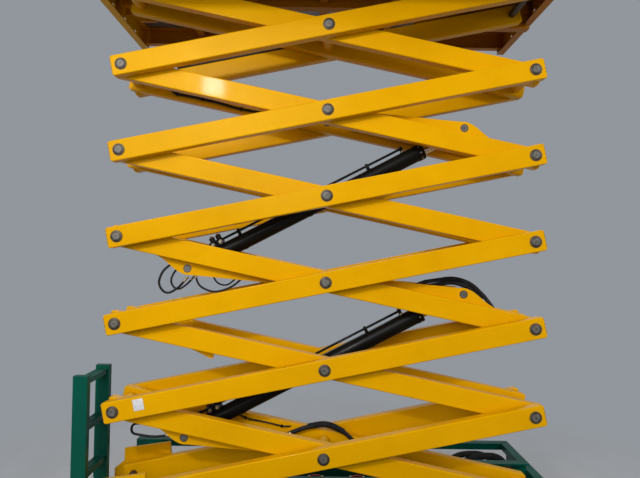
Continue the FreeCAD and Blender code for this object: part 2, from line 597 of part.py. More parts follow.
base_outline = [
    (f"{LEFT} - 150", RAIL_TOP),
    (f"{LEFT} + 230", RAIL_TOP),
    (f"{LEFT} + 205", "Dims.pin_height + 172"),
    (f"{LEFT} - 88", "Dims.pin_height + 128"),
    (f"{LEFT} - 88", "Dims.pin_height + 52"),
    (f"{LEFT} - 150", "Dims.pin_height"),
]
sub_part("base_plates", pair("base_plate", pivot_plate("base_plate", base_outline, "Dims.pin_height")))

CHASSIS_HOSES = [
    # name, radius, points from the middle of the steering end, half-way up the rim
    ("loom", "Dims.hose_radius + 5",
     [(-672.7, 420, -120), (-620, 420, -120), (-560, 470, 10), (-420, 520, 52), (-270, 540, 48),
      (-150, 545, -30), (-140, 540, -170), (-240, 500, -243.7), (-400, 480, -243.7)]),
    ("branch", "Dims.hose_radius",
     [(-672.7, 380, -120), (-620, 380, -120), (-480, 400, 0), (-330, 430, 40), (-200, 440, 10),
      (-160, 445, -170), (-260, 440, -248.7), (-400, 430, -248.7)]),
]
sub_part("hoses_chassis", [hose(name, points, radius) for name, radius, points in CHASSIS_HOSES],
         (FRONT, "0", "Dims.rim_top - Dims.rim_depth"))

# Axles: a fixed beam at the ladder end, a steering beam at the other
AXLE_HEIGHT = "Dims.wheel_radius"
BEAM_HALF = "45"


def axle_beam(name, x, reach):
    """A box beam across the machine on two posts under the main rails."""
    beam = box(f"{name}_beam", ("80", f"2 * ({reach})", f"2 * {BEAM_HALF}"),
               (f"Dims.stack_x + {x} - 40", f"-({reach})", f"{AXLE_HEIGHT} - {BEAM_HALF}"))
    post = box(f"{name}_post", ("80", "Dims.rail_width", f"Dims.rail_bottom - {AXLE_HEIGHT} - {BEAM_HALF}"),
               (f"Dims.stack_x + {x} - 40", "Dims.rail_inner", f"{AXLE_HEIGHT} + {BEAM_HALF}"))
    return [beam] + pair(f"{name}_post", post)


rear_stub = cross_rod("rear_stub", "26", "(Dims.wheel_inner + 60)", "Dims.stack_x - Dims.axle_x", AXLE_HEIGHT)
rear_axle = join("rear_axle", axle_beam("rear_axle", "-Dims.axle_x", "Dims.wheel_inner - 8") + [rear_stub])

KINGPIN_X = "(Dims.stack_x + Dims.axle_x)"
FORK_ROOT = "(Dims.kingpin_y - 60)"
FORK_LOW = "(Dims.knuckle_half + 1)"
forks = []
for name, z in (("upper", FORK_LOW), ("lower", f"-({FORK_LOW} + Dims.fork_plate)")):
    forks.append(box(f"fork_{name}", ("70", "100", "Dims.fork_plate"),
                     (f"{KINGPIN_X} - 35", f"{FORK_ROOT} - 10", f"{AXLE_HEIGHT} + {z}")))
kingpin = rod("kingpin", "Dims.kingpin_radius", f"2 * ({FORK_LOW} + Dims.fork_plate)",
              (KINGPIN_X, "Dims.kingpin_y", f"{AXLE_HEIGHT} - {FORK_LOW} - Dims.fork_plate"), Z_AXIS)
fork_block = box("fork_block", ("70", "10", f"2 * ({FORK_LOW} + Dims.fork_plate)"),
                 (f"{KINGPIN_X} - 35", f"{FORK_ROOT} - 10", f"{AXLE_HEIGHT} - {FORK_LOW} - Dims.fork_plate"))
fork = join("fork", forks + [kingpin, fork_block])
front_axle = join("front_axle", axle_beam("front_axle", "Dims.axle_x", FORK_ROOT) + pair("fork", fork))
sub_part("axles", [rear_axle, front_axle])

SPINDLE_REACH = "(Dims.wheel_inner + 60 - Dims.kingpin_y)"
ARM_HALF = "8"
knuckle_barrel = rod("knuckle_barrel", "Dims.knuckle_radius", "2 * Dims.knuckle_half",
                     ("0", "0", "-Dims.knuckle_half"), Z_AXIS)
knuckle_arm = box("knuckle_arm", ("Dims.steer_arm", "28", f"2 * {ARM_HALF}"),
                  ("-Dims.steer_arm", "-14", f"-{ARM_HALF}"))
knuckle_tip = rod("knuckle_tip", "20", f"2 * {ARM_HALF}", ("-Dims.steer_arm", "0", f"-{ARM_HALF}"), Z_AXIS)
knuckle_bore = rod("knuckle_bore", "Dims.kingpin_radius + Dims.pin_fit", "2 * Dims.knuckle_half + 2",
                   ("0", "0", "-Dims.knuckle_half - 1"), Z_AXIS)
for side, sign in (("left", 1), ("right", -1)):
    spindle = rod(f"{side}_spindle", "26", SPINDLE_REACH,
                  ("0", "0" if sign > 0 else f"-{SPINDLE_REACH}", "0"))
    blank = join(f"knuckle_{side}_blank", [knuckle_barrel, knuckle_arm, knuckle_tip, spindle])
    sub_part(f"knuckle_{side}", [cut(f"knuckle_{side}_body", blank, [knuckle_bore])],
             (KINGPIN_X, f"{sign} * Dims.kingpin_y", AXLE_HEIGHT))
tie_bar = rod("tie_bar", "12", "2 * Dims.kingpin_y", ("0", "-Dims.kingpin_y", "0"))
tie_end = rod("tie_end", "20", "30", ("0", "Dims.kingpin_y", "-15"), Z_AXIS)
sub_part("tie_rod", [join("tie_rod_body", [tie_bar] + pair("tie_end", tie_end))],
         (f"{KINGPIN_X} - Dims.steer_arm", "0", f"{AXLE_HEIGHT} - {ARM_HALF} - 15.4"))

# Wheels: solid tyre on a dished disc
for name, x, sign in (("rear_left", "-Dims.axle_x", 1), ("rear_right", "-Dims.axle_x", -1),
                      ("front_left", "Dims.axle_x", 1), ("front_right", "Dims.axle_x", -1)):
    tyre_blank = rod(f"{name}_tyre_blank", "Dims.wheel_radius", "Dims.wheel_width",
                     ("0", "Dims.wheel_inner", "0"))
    tyre_hole = rod(f"{name}_tyre_hole", "Dims.rim_radius", "Dims.wheel_width + 2",
                    ("0", "Dims.wheel_inner - 1", "0"))
    tyre = cut(f"{name}_tyre", tyre_blank, [tyre_hole])
    disc = rod(f"{name}_disc", "Dims.rim_radius", "Dims.wheel_width - 40",
               ("0", "Dims.wheel_inner + 20", "0"))
    dish = rod(f"{name}_dish", "Dims.rim_radius - 22", "40",
               ("0", "Dims.wheel_inner + Dims.wheel_width - 50", "0"))
    hub = rod(f"{name}_hub", "Dims.hub_radius", "45", ("0", "Dims.wheel_inner + Dims.wheel_width - 51", "0"))
    spindle_bore = rod(f"{name}_spindle_bore", "27", "Dims.wheel_width - 50", ("0", "Dims.wheel_inner", "0"))
    rim_disc = join(f"{name}_rim", [cut(f"{name}_dished", disc, [dish, spindle_bore]), hub])
    pieces = [tyre, rim_disc]
    if sign < 0:
        pieces = [mirrored(f"{name}_{index}", piece) for index, piece in enumerate(pieces)]
    place = (f"Dims.stack_x + {x}", "0", AXLE_HEIGHT)
    sub_part(f"tyre_{name}", [pieces[0]], place)
    sub_part(f"wheel_{name}", [pieces[1]], place)

# Side compartments: doors hinged at the ladder end, batteries on one side, pump unit on the other
DOOR_GAP = "6"
DOOR_LENGTH = f"{BAY_LENGTH} - 2 * {DOOR_GAP} - 2 * Dims.plate"
for side, sign in (("left", 1), ("right", -1)):
    skin = box(f"door_{side}_skin", (DOOR_LENGTH, "Dims.door_thick", f"{DOOR_TOP} - {DOOR_LOW}"),
               (f"{DOOR_X} - 12", f"{DOOR_Y} - Dims.door_thick / 2", DOOR_LOW))
    bore = rod(f"door_{side}_bore", "Dims.door_pin + Dims.pin_fit", f"{DOOR_TOP} - {DOOR_LOW} + 2",
               (DOOR_X, DOOR_Y, f"{DOOR_LOW} - 1"), Z_AXIS)
    door = cut(f"door_{side}_body", skin, [bore])
    sub_part(f"door_{side}", [door if sign > 0 else mirrored(f"door_{side}_mirror", door)])
BAY_Y = "(Dims.rail_inner + Dims.rail_width)"
BAY_WIDTH = f"({DOOR_Y} - Dims.door_thick / 2 - {BAY_Y})"
BAY_LOW = "(Dims.skirt_bottom + Dims.plate)"
battery_sets = [box(f"battery_{index}", ("260", "180", "270"),
                    (f"{BAY_BACK} + 120 + {index} * 290", f"{BAY_Y} + 60", BAY_LOW)) for index in range(4)]
sub_part("batteries", battery_sets)
tank = box("tank", ("420", f"{BAY_WIDTH} - 170", "230"),
           (f"{BAY_BACK} + 120", f"-{BAY_Y} - {BAY_WIDTH} + 90", BAY_LOW))
pump = rod("pump", "70", "330", (f"{BAY_BACK} + 600", f"-{BAY_Y} - {BAY_WIDTH} / 2", f"{BAY_LOW} + 70"),
           X_AXIS)
charger = box("charger", ("260", f"{BAY_WIDTH} / 2", "160"),
              (f"{BAY_BACK} + 1000", f"-{BAY_Y} - {BAY_WIDTH} * 0.75", BAY_LOW))
sub_part("power_unit", [tank, pump, charger])

# Ladder on the chassis end
LADDER_X = f"({END_BACK} - Dims.ladder_depth)"
STILE_FOOT = "(Dims.ladder_foot - 60)"
stile = box("ladder_stile", ("Dims.ladder_depth", "Dims.ladder_stile", f"Dims.ladder_top - {STILE_FOOT}"),
            (LADDER_X, "Dims.ladder_pitch / 2 - Dims.ladder_stile / 2", STILE_FOOT))
RUNG_HALF = "(Dims.ladder_pitch / 2 - Dims.ladder_stile / 2)"
rungs = [box(f"ladder_rung_{index}", ("Dims.ladder_depth - 20", f"2 * {RUNG_HALF}", "Dims.rung_depth"),
             (f"{LADDER_X} + 10", f"-{RUNG_HALF}",
              f"Dims.ladder_foot + {index} * Dims.rung_pitch - Dims.rung_depth"))
         for index in range(int(value("Dims.rungs")))]
sub_part("ladder", [join("ladder_body", pair("ladder_stile", stile) + rungs)])

# Platform underframe
DECK = f"({TOP} + Dims.deck_rise)"
PLATE_UNDER = f"({DECK} - Dims.deck_plate)"
P_BACK = f"({LEFT} - Dims.platform_back)"
P_FRONT = f"({RIGHT} + Dims.platform_front)"
P_LENGTH = f"({P_FRONT} - {P_BACK})"
BEAM = "Dims.beam_width"
BEAM_LOW = f"({TOP} - Dims.beam_drop)"
top_track = track("top_track", TOP)
TRACK_TOP = f"({TOP} + {TRACK_HALF} + Dims.rail_wall)"
top_outline = [(f"{LEFT} - 50", f"{TOP} - 45"), (f"{LEFT} + 50", f"{TOP} - 45"), (f"{LEFT} + 110", TRACK_TOP),
               (f"{LEFT} - 110", TRACK_TOP)]
top_lug = join("top_lug", [pivot_plate("top_lug_plate", top_outline, TOP),
                           box("top_lug_foot", ("220", "Dims.base_plate", "12"),
                               (f"{LEFT} - 110", BASE_IN, f"{TRACK_TOP} - 6"))])
top_rail = box("top_rail", (f"{P_LENGTH} - 2 * {BEAM}", "Dims.rail_width",
                            f"Dims.deck_rise - Dims.deck_plate - {TRACK_HALF} - Dims.rail_wall"),
               (f"{P_BACK} + {BEAM}", "Dims.rail_inner", f"{TOP} + {TRACK_HALF} + Dims.rail_wall"))
SLOT_MID = f"({BEAM_LOW} + 0.45 * ({PLATE_UNDER} - {BEAM_LOW}))"


def slot(name, x, y):
    """A round-ended hole across the machine's length."""
    half = "(Dims.slot_length - Dims.slot_height) / 2"
    middle = box(f"{name}_middle", ("Dims.beam_web + 2", f"2 * {half}", "Dims.slot_height"),
                 (x, f"{y} - {half}", f"{SLOT_MID} - Dims.slot_height / 2"))
    ends = [rod(f"{name}_end_{sign}", "Dims.slot_height / 2", "Dims.beam_web + 2",
                (x, f"{y} {sign} {half}", SLOT_MID), X_AXIS)
            for sign in "-+"]
    return [middle] + ends


end_beams = []
for name, x, web in (("back_beam", P_BACK, P_BACK),
                     ("front_beam", f"({P_FRONT} - {BEAM})", f"({P_FRONT} - Dims.beam_web)")):
    outer = box(f"{name}_outer", (BEAM, "2 * Dims.half_width", f"{PLATE_UNDER} - {BEAM_LOW}"),
                (x, "-Dims.half_width", BEAM_LOW))
    hollow_x = f"{x} + Dims.beam_web" if x == web else f"{x} - 1"
    hollow = box(f"{name}_hollow", (f"{BEAM} - Dims.beam_web + 1", "2 * (Dims.half_width - Dims.beam_web)",
                                    f"{PLATE_UNDER} - {BEAM_LOW} - 2 * Dims.beam_web"),
                 (hollow_x, "-Dims.half_width + Dims.beam_web", f"{BEAM_LOW} + Dims.beam_web"))
    slots = []
    for index in range(4):
        slots += slot(f"{name}_slot_{index}", f"{web} - 1", f"({index} + 0.1) * Dims.slot_pitch")
        slots += slot(f"{name}_slot_minus_{index}", f"{web} - 1", f"-({index} + 0.9) * Dims.slot_pitch")
    end_beams.append(cut(name, outer, [hollow] + slots))
side_outer = box("side_outer", (f"{P_LENGTH} - 2 * Dims.beam_web", "Dims.beam_width",
                                f"{PLATE_UNDER} - {TOP} - 20"),
                 (f"{P_BACK} + Dims.beam_web", "Dims.half_width - Dims.beam_width", f"{TOP} + 20"))
side_hollow = box("side_hollow", (f"{P_LENGTH}", "Dims.beam_width - Dims.beam_web",
                                  f"{PLATE_UNDER} - {TOP} - 20 - 2 * Dims.beam_web"),
                  (P_BACK, "Dims.half_width - Dims.beam_width - 1", f"{TOP} + 20 + Dims.beam_web"))
side_beam = cut("side_beam", side_outer, [side_hollow])
floor_beams = []
for index in range(1, 6):
    x = f"{P_BACK} + {index} * {P_LENGTH} / 6 - {BEAM} / 2"
    floor_beams.append(box(f"floor_beam_{index}", (BEAM, "2 * (Dims.half_width - Dims.beam_web) - 1", "56"),
                           (x, "-Dims.half_width + Dims.beam_web + 0.5", f"{PLATE_UNDER} - 56")))
gussets = []
for name, x in (("back", f"{P_BACK} + Dims.beam_web"), ("front", f"{P_FRONT} - Dims.beam_web - 90")):
    piece = box(f"gusset_{name}", ("90", "8", f"{PLATE_UNDER} - {TOP} - 20"),
                (x, "Dims.rail_inner + Dims.rail_width", f"{TOP} + 20"))
    gussets += pair(f"gusset_{name}", piece)
platform_frame = join("platform_frame_body", end_beams + floor_beams + gussets + pair("side_beam", side_beam)
                      + pair("top_rail", top_rail) + pair("top_track", top_track) + pair("top_lug", top_lug))
sub_part("platform_frame", [platform_frame])
platform_pin = headed_shaft("platform_pin_body", "0", PIVOT_OUT)
sub_part("platform_pin", [platform_pin], (LEFT, "0", TOP))
floor_plate = box("floor_plate", (P_LENGTH, "2 * Dims.half_width", "Dims.deck_plate"),
                  (P_BACK, "-Dims.half_width", PLATE_UNDER))
sub_part("platform_floor", [floor_plate])

# Guard rails round the fixed deck
RAIL_Y = "(Dims.half_width - Dims.rail_tube)"
POST_COUNT = 4
POST = "(Dims.rail_tube - 1.5)"
rail_pieces = []
for index in range(POST_COUNT):
    post = rod(f"post_{index}", POST, "Dims.rail_height - Dims.rail_tube",
               (f"{P_BACK} + Dims.rail_tube + {index} * ({P_LENGTH} - 2 * Dims.rail_tube) / {POST_COUNT - 1}",
                RAIL_Y, DECK), Z_AXIS)
    rail_pieces += pair(f"post_{index}", post)
for name, height in (("top_bar", "Dims.rail_height - Dims.rail_tube"), ("mid_bar", "Dims.mid_rail")):
    bar = rod(f"side_{name}", "Dims.rail_tube", P_LENGTH, (P_BACK, RAIL_Y, f"{DECK} + {height}"), X_AXIS)
    rail_pieces += pair(f"side_{name}", bar)
    end_bar = rod(f"end_{name}", "Dims.rail_tube - 0.7", f"{RAIL_Y} - Dims.gate_width / 2",
                  (f"{P_BACK} + Dims.rail_tube", "Dims.gate_width / 2", f"{DECK} + {height}"))
    rail_pieces += pair(f"end_{name}", end_bar)
gate_post = rod("gate_post", POST, "Dims.rail_height - Dims.rail_tube",
                (f"{P_BACK} + Dims.rail_tube", "Dims.gate_width / 2 + Dims.rail_tube", DECK), Z_AXIS)
rail_pieces += pair("gate_post", gate_post)
toe_side = box("toe_side", (P_LENGTH, "4", "Dims.toe_board"), (P_BACK, "Dims.half_width - 12", DECK))
toe_end = box("toe_end", ("4", "Dims.half_width - Dims.gate_width / 2 - 12", "Dims.toe_board"),
              (f"{P_BACK} + 12", "Dims.gate_width / 2", DECK))
rail_pieces += pair("toe_side", toe_side) + pair("toe_end", toe_end)
GATE_BAR = "16"
GATE_Y = f"(Dims.gate_width / 2 - 6 - {GATE_BAR})"
for name, height in (("low", "300"), ("high", "800")):
    ring = rod(f"gate_ring_{name}", f"{GATE_BAR} + 8", "30", (f"{P_BACK} + Dims.rail_tube", GATE_Y,
                                                             f"{DECK} + {height}"), Z_AXIS)
    hole = rod(f"gate_ring_hole_{name}", f"{GATE_BAR} + Dims.pin_fit", "32",
               (f"{P_BACK} + Dims.rail_tube", GATE_Y, f"{DECK} + {height} - 1"), Z_AXIS)
    rail_pieces.append(cut(f"gate_hinge_{name}", ring, [hole]))
sub_part("guard_rails", [join("guard_rails_body", rail_pieces)])

# Gate at the ladder end, hinged on the +Y gate post
gate_pieces = []
for name, height in (("high", "Dims.rail_height - Dims.rail_tube - 4"), ("low", "Dims.mid_rail")):
    gate_pieces.append(cross_rod(f"gate_bar_{name}", f"{GATE_BAR} - 1", GATE_Y,
                                 f"{P_BACK} + Dims.rail_tube", f"{DECK} + {height}"))
for name, y in (("hinge", GATE_Y), ("latch", f"-{GATE_Y}")):
    gate_pieces.append(rod(f"gate_upright_{name}", GATE_BAR, "Dims.rail_height - Dims.rail_tube - 24",
                           (f"{P_BACK} + Dims.rail_tube", y, f"{DECK} + 20"), Z_AXIS))
gate_pieces.append(box("gate_toe", ("4", f"2 * {GATE_Y}", "Dims.toe_board - 10"),
                       (f"{P_BACK} + Dims.rail_tube - 2", f"-{GATE_Y}", f"{DECK} + 20")))
sub_part("gate", [join("gate_body", gate_pieces)])

# Roll-out deck that slides over the fixed floor, with the end rail
E_HALF = "(Dims.half_width - Dims.extension_gap)"
E_FRONT = f"({P_FRONT} - 4)"
E_BACK = f"({E_FRONT} - Dims.extension_length)"
E_LOW = f"({DECK} + 0.4)"
extension_floor = box("extension_floor_plate", ("Dims.extension_length", f"2 * {E_HALF}", "24"),
                      (E_BACK, f"-{E_HALF}", E_LOW))
sub_part("extension_floor", [extension_floor])
E_TOP = f"({E_LOW} + 24)"
E_RAIL_Y = f"({E_HALF} - 16)"
extension_pieces = []
for index in range(3):
    post = rod(f"extension_post_{index}", "16", "Dims.rail_height - 60",
               (f"{E_BACK} + 16 + {index} * (Dims.extension_length - 32) / 2", E_RAIL_Y, E_TOP), Z_AXIS)
    extension_pieces += pair(f"extension_post_{index}", post)
for name, height in (("high", "Dims.rail_height - 76"), ("low", "Dims.mid_rail - 30")):
    bar = rod(f"extension_bar_{name}", "17", "Dims.extension_length - 18", (f"{E_BACK} + 3", E_RAIL_Y,
                                                                          f"{E_TOP} + {height}"), X_AXIS)
    extension_pieces += pair(f"extension_bar_{name}", bar)
    extension_pieces.append(cross_rod(f"extension_end_{name}", "14.5", E_RAIL_Y, f"{E_FRONT} - 16",
                                      f"{E_TOP} + {height}"))
extension_pieces.append(box("extension_toe", ("4", f"2 * {E_RAIL_Y}", "Dims.toe_board - 26"),
                            (f"{E_FRONT} - 18", f"-{E_RAIL_Y}", E_TOP)))
sub_part("extension_rails", [join("extension_rails_body", extension_pieces)])
control_box = box("control_box_body", ("140", "260", "200"),
                  (f"{E_FRONT} - 170.8", f"-{E_HALF} + 90", f"{E_TOP} + Dims.rail_height - 276"))
sub_part("control_box", [control_box])

doc.recompute()
for item in doc.Objects:
    failed = {"Invalid", "Error"} & set(item.State)
    if failed:
        raise RuntimeError(f"{item.Label} did not build: {item.State}")
for item in sub_parts:
    if item.Shape.isNull() or not item.Shape.isValid():
        raise RuntimeError(f"{item.Label} has no sound shape")
os.makedirs("parts", exist_ok=True)
for item in sub_parts:
    item.Shape.exportStep(f"parts/{item.Label}.step")
print(len(sub_parts), "sub-parts")
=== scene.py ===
import json
import math

import bmesh
import bpy
from mathutils import Matrix, Vector


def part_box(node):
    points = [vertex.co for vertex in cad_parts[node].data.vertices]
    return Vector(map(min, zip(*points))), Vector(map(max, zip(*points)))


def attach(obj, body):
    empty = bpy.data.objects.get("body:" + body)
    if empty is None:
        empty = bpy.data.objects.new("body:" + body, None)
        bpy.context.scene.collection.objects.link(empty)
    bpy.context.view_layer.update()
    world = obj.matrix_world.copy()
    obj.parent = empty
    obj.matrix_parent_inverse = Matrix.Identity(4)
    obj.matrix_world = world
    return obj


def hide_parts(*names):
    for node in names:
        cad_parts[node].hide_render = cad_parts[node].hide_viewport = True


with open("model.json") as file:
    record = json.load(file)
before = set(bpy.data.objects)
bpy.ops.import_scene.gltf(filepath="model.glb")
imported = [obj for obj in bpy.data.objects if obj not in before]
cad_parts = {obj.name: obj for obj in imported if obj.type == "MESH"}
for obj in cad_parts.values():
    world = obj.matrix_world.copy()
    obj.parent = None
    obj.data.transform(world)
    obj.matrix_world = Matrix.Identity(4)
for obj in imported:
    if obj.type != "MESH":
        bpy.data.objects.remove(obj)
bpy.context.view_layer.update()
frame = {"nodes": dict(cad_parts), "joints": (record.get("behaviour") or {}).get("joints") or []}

nodes = frame["nodes"]

# Floor and studio
# A pale matt floor under the wheels, large soft lights overhead and in front, and a camera that stands
# at eye level square to the machine's side, a little rolled, as the photograph was taken.
PHOTO_WIDTH, FOCAL_PIXELS, SENSOR_MM = 640, 510, 36
CAMERA_AT = (-0.0213, -3.118, 1.955)
CAMERA_YAW, CAMERA_PITCH, CAMERA_ROLL = 0.105, 1.66, 0.755
FLOOR_REACH = 30
BACKDROP, BACKDROP_STRENGTH = (0.52, 0.56, 0.61), 0.55
scene = bpy.context.scene


def add_object(name, data):
    item = bpy.data.objects.new(name, data)
    scene.collection.objects.link(item)
    return item


camera_data = bpy.data.cameras.new("camera")
camera_data.sensor_width = SENSOR_MM
camera_data.lens = FOCAL_PIXELS / PHOTO_WIDTH * SENSOR_MM
scene.camera = add_object("camera", camera_data)
scene.camera.matrix_world = (
    Matrix.Translation(CAMERA_AT)
    @ Matrix.Rotation(math.radians(-CAMERA_YAW), 4, "Z")
    @ Matrix.Rotation(math.radians(90 + CAMERA_PITCH), 4, "X")
    @ Matrix.Rotation(math.radians(CAMERA_ROLL), 4, "Z")
)
scene.view_settings.view_transform = "Standard"

floor_mesh = bmesh.new()
bmesh.ops.create_grid(floor_mesh, x_segments=1, y_segments=1, size=FLOOR_REACH)
floor_data = bpy.data.meshes.new("floor")
floor_mesh.to_mesh(floor_data)
floor_mesh.free()
add_object("floor", floor_data)


def rgba(value):
    """Four numbers from a colour or a grey level."""
    return (*value, 1) if isinstance(value, tuple) else (value, value, value, 1)


class Surface:
    """A node material on object coordinates, with the record slot that it stands for."""

    def __init__(self, name, slot=None):
        self.slot = slot
        self.material = bpy.data.materials.new(name)
        self.material.use_nodes = True
        self.tree = self.material.node_tree
        self.shader = self.tree.nodes["Principled BSDF"]
        self.vector = self.node("TexCoord").outputs["Object"]

    def wire(self, node, inputs):
        """Gives inputs of a node their sockets, colours, grey levels or numbers."""
        for key, value in inputs.items():
            socket = node.inputs[key]
            if isinstance(value, bpy.types.NodeSocket):
                self.tree.links.new(value, socket)
            else:
                socket.default_value = rgba(value) if socket.type == "RGBA" else value
        return node

    def shade(self, inputs):
        return self.wire(self.shader, inputs)

    def node(self, kind, inputs={}, **settings):
        node = self.tree.nodes.new("ShaderNode" + kind)
        for name, value in settings.items():
            setattr(node, name, value)
        return self.wire(node, inputs)

    def noise(self, scale, detail=4, roughness=0.6):
        values = {"Vector": self.vector, "Scale": scale, "Detail": detail, "Roughness": roughness}
        return self.node("TexNoise", values).outputs["Fac"]

    def ramp(self, source, start, stop, low, high):
        """One colour or grey level turning into another while source runs from start to stop."""
        band = self.node("ValToRGB", {"Fac": source})
        for element, position, value in zip(band.color_ramp.elements, (start, stop), (low, high)):
            element.position = position
            element.color = rgba(value)
        return band.outputs["Color"]

    def math(self, operation, *values):
        return self.node("Math", dict(enumerate(values)), operation=operation).outputs["Value"]

    def blend(self, share, first, second):
        """One colour or socket over another, by a mask."""
        return self.node("Mix", {"Factor": share, "A": first, "B": second}, data_type="RGBA").outputs["Result"]

    def soft_normal(self, radius):
        return self.node("Bevel", {"Radius": radius}, samples=4).outputs["Normal"]

    def bump(self, height, strength, distance, edge=0.0):
        """Surface relief, over edges softened by a small radius."""
        values = {"Height": height, "Strength": strength, "Distance": distance}
        if edge:
            values["Normal"] = self.soft_normal(edge)
        self.shade({"Normal": self.node("Bump", values).outputs["Normal"]})


FADE_REACH = 10
concrete = Surface("floor_concrete")
concrete.shade({"Base Color": concrete.ramp(concrete.noise(3), 0.3, 0.7, 0.42, 0.47), "Roughness": 0.8})
away = concrete.node("VectorMath", {0: concrete.vector}, operation="LENGTH").outputs["Value"]
fade = concrete.ramp(concrete.math("DIVIDE", away, FADE_REACH), 0.22, 0.42, 0, 1)
backdrop = concrete.node("Emission", {"Color": BACKDROP, "Strength": BACKDROP_STRENGTH})
cove = concrete.node("MixShader", {0: fade, 1: concrete.shader.outputs["BSDF"], 2: backdrop.outputs["Emission"]})
concrete.wire(concrete.tree.nodes["Material Output"], {"Surface": cove.outputs["Shader"]})
floor_data.materials.append(concrete.material)

scene.world = bpy.data.worlds.new("studio")
scene.world.use_nodes = True
world_light = scene.world.node_tree.nodes["Background"]
world_light.inputs["Color"].default_value = rgba(BACKDROP)
world_light.inputs["Strength"].default_value = BACKDROP_STRENGTH


def area_light(name, at, aim, size, power):
    data = bpy.data.lights.new(name, "AREA")
    data.shape = "RECTANGLE"
    data.size, data.size_y = size
    data.energy = power
    turn = (Vector(aim) - Vector(at)).to_track_quat("-Z", "Y").to_matrix().to_4x4()
    add_object(name, data).matrix_world = Matrix.Translation(at) @ turn


area_light("sky_front", (-3.2, -7.5, 5.2), (0, 0, 2), (8, 5), 470)
area_light("sky_right", (6, -4, 5), (0, 0, 2), (4, 4), 200)
area_light("sky_back", (0, 7, 6), (0, 0, 2.5), (8, 4), 150)
area_light("lamp_glare", (-1.6, -4.6, 4.4), (-0.65, -0.15, 2.92), (0.29, 0.27), 98)

# Arm stack
# Six levels of closed steel tubes with welded caps, joined by cross tubes and sprayed in a thick gloss
# yellow. Grease and road dirt have gathered along the ends, and knocks have taken the paint off corners.


def gloss_paint(name, slot, deep, bright, chip, wear, shine=0.3, sheen=(1, 1, 1)):
    """Sprayed enamel: clouded colour, orange peel, chipped dirty edges and a few stains."""
    paint = Surface(name, slot)
    geometry = paint.node("NewGeometry").outputs["Normal"]
    turned = paint.node("VectorMath", {0: paint.soft_normal(0.0025), 1: geometry}, operation="DOT_PRODUCT")
    edges = paint.ramp(turned.outputs["Value"], 0.82, 0.97, 1, 0)
    knocks = paint.ramp(paint.noise(9, 6, 0.7), 0.5, 0.66, 0, 0.9 * wear)
    grime = paint.ramp(paint.noise(34, 8, 0.7), 0.71 - 0.02 * wear, 0.76, 0, wear)
    dirt = paint.math("MAXIMUM", grime, paint.math("MULTIPLY", edges, knocks))
    smear = paint.ramp(paint.noise(6), 0.3, 0.75, shine - 0.06, shine + 0.1)
    paint.shade({
        "Base Color": paint.blend(dirt, paint.ramp(paint.noise(2.2, 5), 0.3, 0.7, deep, bright), chip),
        "Roughness": paint.math("ADD", smear, paint.math("MULTIPLY", dirt, 0.3)),
        "Specular IOR Level": 0.1, "Specular Tint": sheen, "Coat Weight": 0.03, "Coat Roughness": 0.08})
    paint.bump(paint.noise(240, 2), 0.07, 0.0004, 0.002)
    return paint


def finish(node_names, surface):
    """Gives CAD nodes their material."""
    for name in node_names:
        nodes[name].data.materials.clear()
        nodes[name].data.materials.append(surface.material)


def piece(name, mesh, surface, body, smooth=35):
    """A named object from mesh code, riding on a CAD body."""
    data = bpy.data.meshes.new(name)
    bmesh.ops.recalc_face_normals(mesh, faces=mesh.faces)
    mesh.to_mesh(data)
    mesh.free()
    data.shade_smooth()
    data.set_sharp_from_angle(angle=math.radians(smooth))
    data.materials.append(surface.material)
    item = add_object(name, data)
    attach(item, body)
    return item


def new_meshes(count):
    return [bmesh.new() for _ in range(count)]


def box(name):
    """The lowest and the highest corner of a CAD node."""
    return [Vector(corner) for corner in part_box(name)]


def circle(radius, count, start=0.0):
    """Points round the origin in the XY plane."""
    angles = [start + 2 * math.pi * n / count for n in range(count)]
    return [Vector((radius * math.cos(angle), radius * math.sin(angle), 0)) for angle in angles]


def facing(at, axis):
    """A frame at a point with its Z along axis."""
    return Matrix.Translation(at) @ Vector(axis).to_track_quat("Z", "X").to_matrix().to_4x4()


def loft(mesh, rings, closed=False):
    """Faces from ring to ring, capped at both ends unless the last ring meets the first."""
    rings = [[mesh.verts.new(point) for point in ring] for ring in rings]
    for lower, upper in zip(rings, rings[1:] + (rings[:1] if closed else [])):
        for corners in zip(lower, lower[1:] + lower[:1], upper[1:] + upper[:1], upper):
            mesh.faces.new(corners)
    if not closed:
        mesh.faces.new(reversed(rings[0]))
        mesh.faces.new(rings[-1])


def round_edges(mesh, edges, radius, segments=2):
    bmesh.ops.bevel(mesh, geom=edges, offset=radius, affect="EDGES", segments=segments, profile=0.5, material=-1)


def block(mesh, low, high, edge=0.002, place=Matrix()):
    """A box between two opposite corners, its edges rounded."""
    size = Matrix.Diagonal((*(abs(b - a) for a, b in zip(low, high)), 1))
    middle = Matrix.Translation((Vector(low) + Vector(high)) / 2)
    made = bmesh.ops.create_cube(mesh, size=1, matrix=place @ middle @ size)
    round_edges(mesh, list({side for vert in made["verts"] for side in vert.link_edges}), edge)


def plate(mesh, middle, half, edge=0.002, place=Matrix()):
    """A box about its middle."""
    block(mesh, Vector(middle) - Vector(half), Vector(middle) + Vector(half), edge, place)


def lathe(mesh, start, axis, profile, segments=32, place=Matrix()):
    """A turned part: (distance along the axis, radius) pairs from one end to the other."""
    at = facing(place @ Vector(start), place.to_3x3() @ Vector(axis))
    loft(mesh, [[at @ (spot + Vector((0, 0, along))) for spot in circle(radius, segments)]
                for along, radius in profile])


def bar(mesh, start, end, radius, edge=0.001, segments=20, place=Matrix()):
    """A round bar between two points with its end edges broken."""
    way = Vector(end) - Vector(start)
    lathe(mesh, start, way, [(0, radius - edge), (edge, radius), (way.length - edge, radius),
                             (way.length, radius - edge)], segments, place)


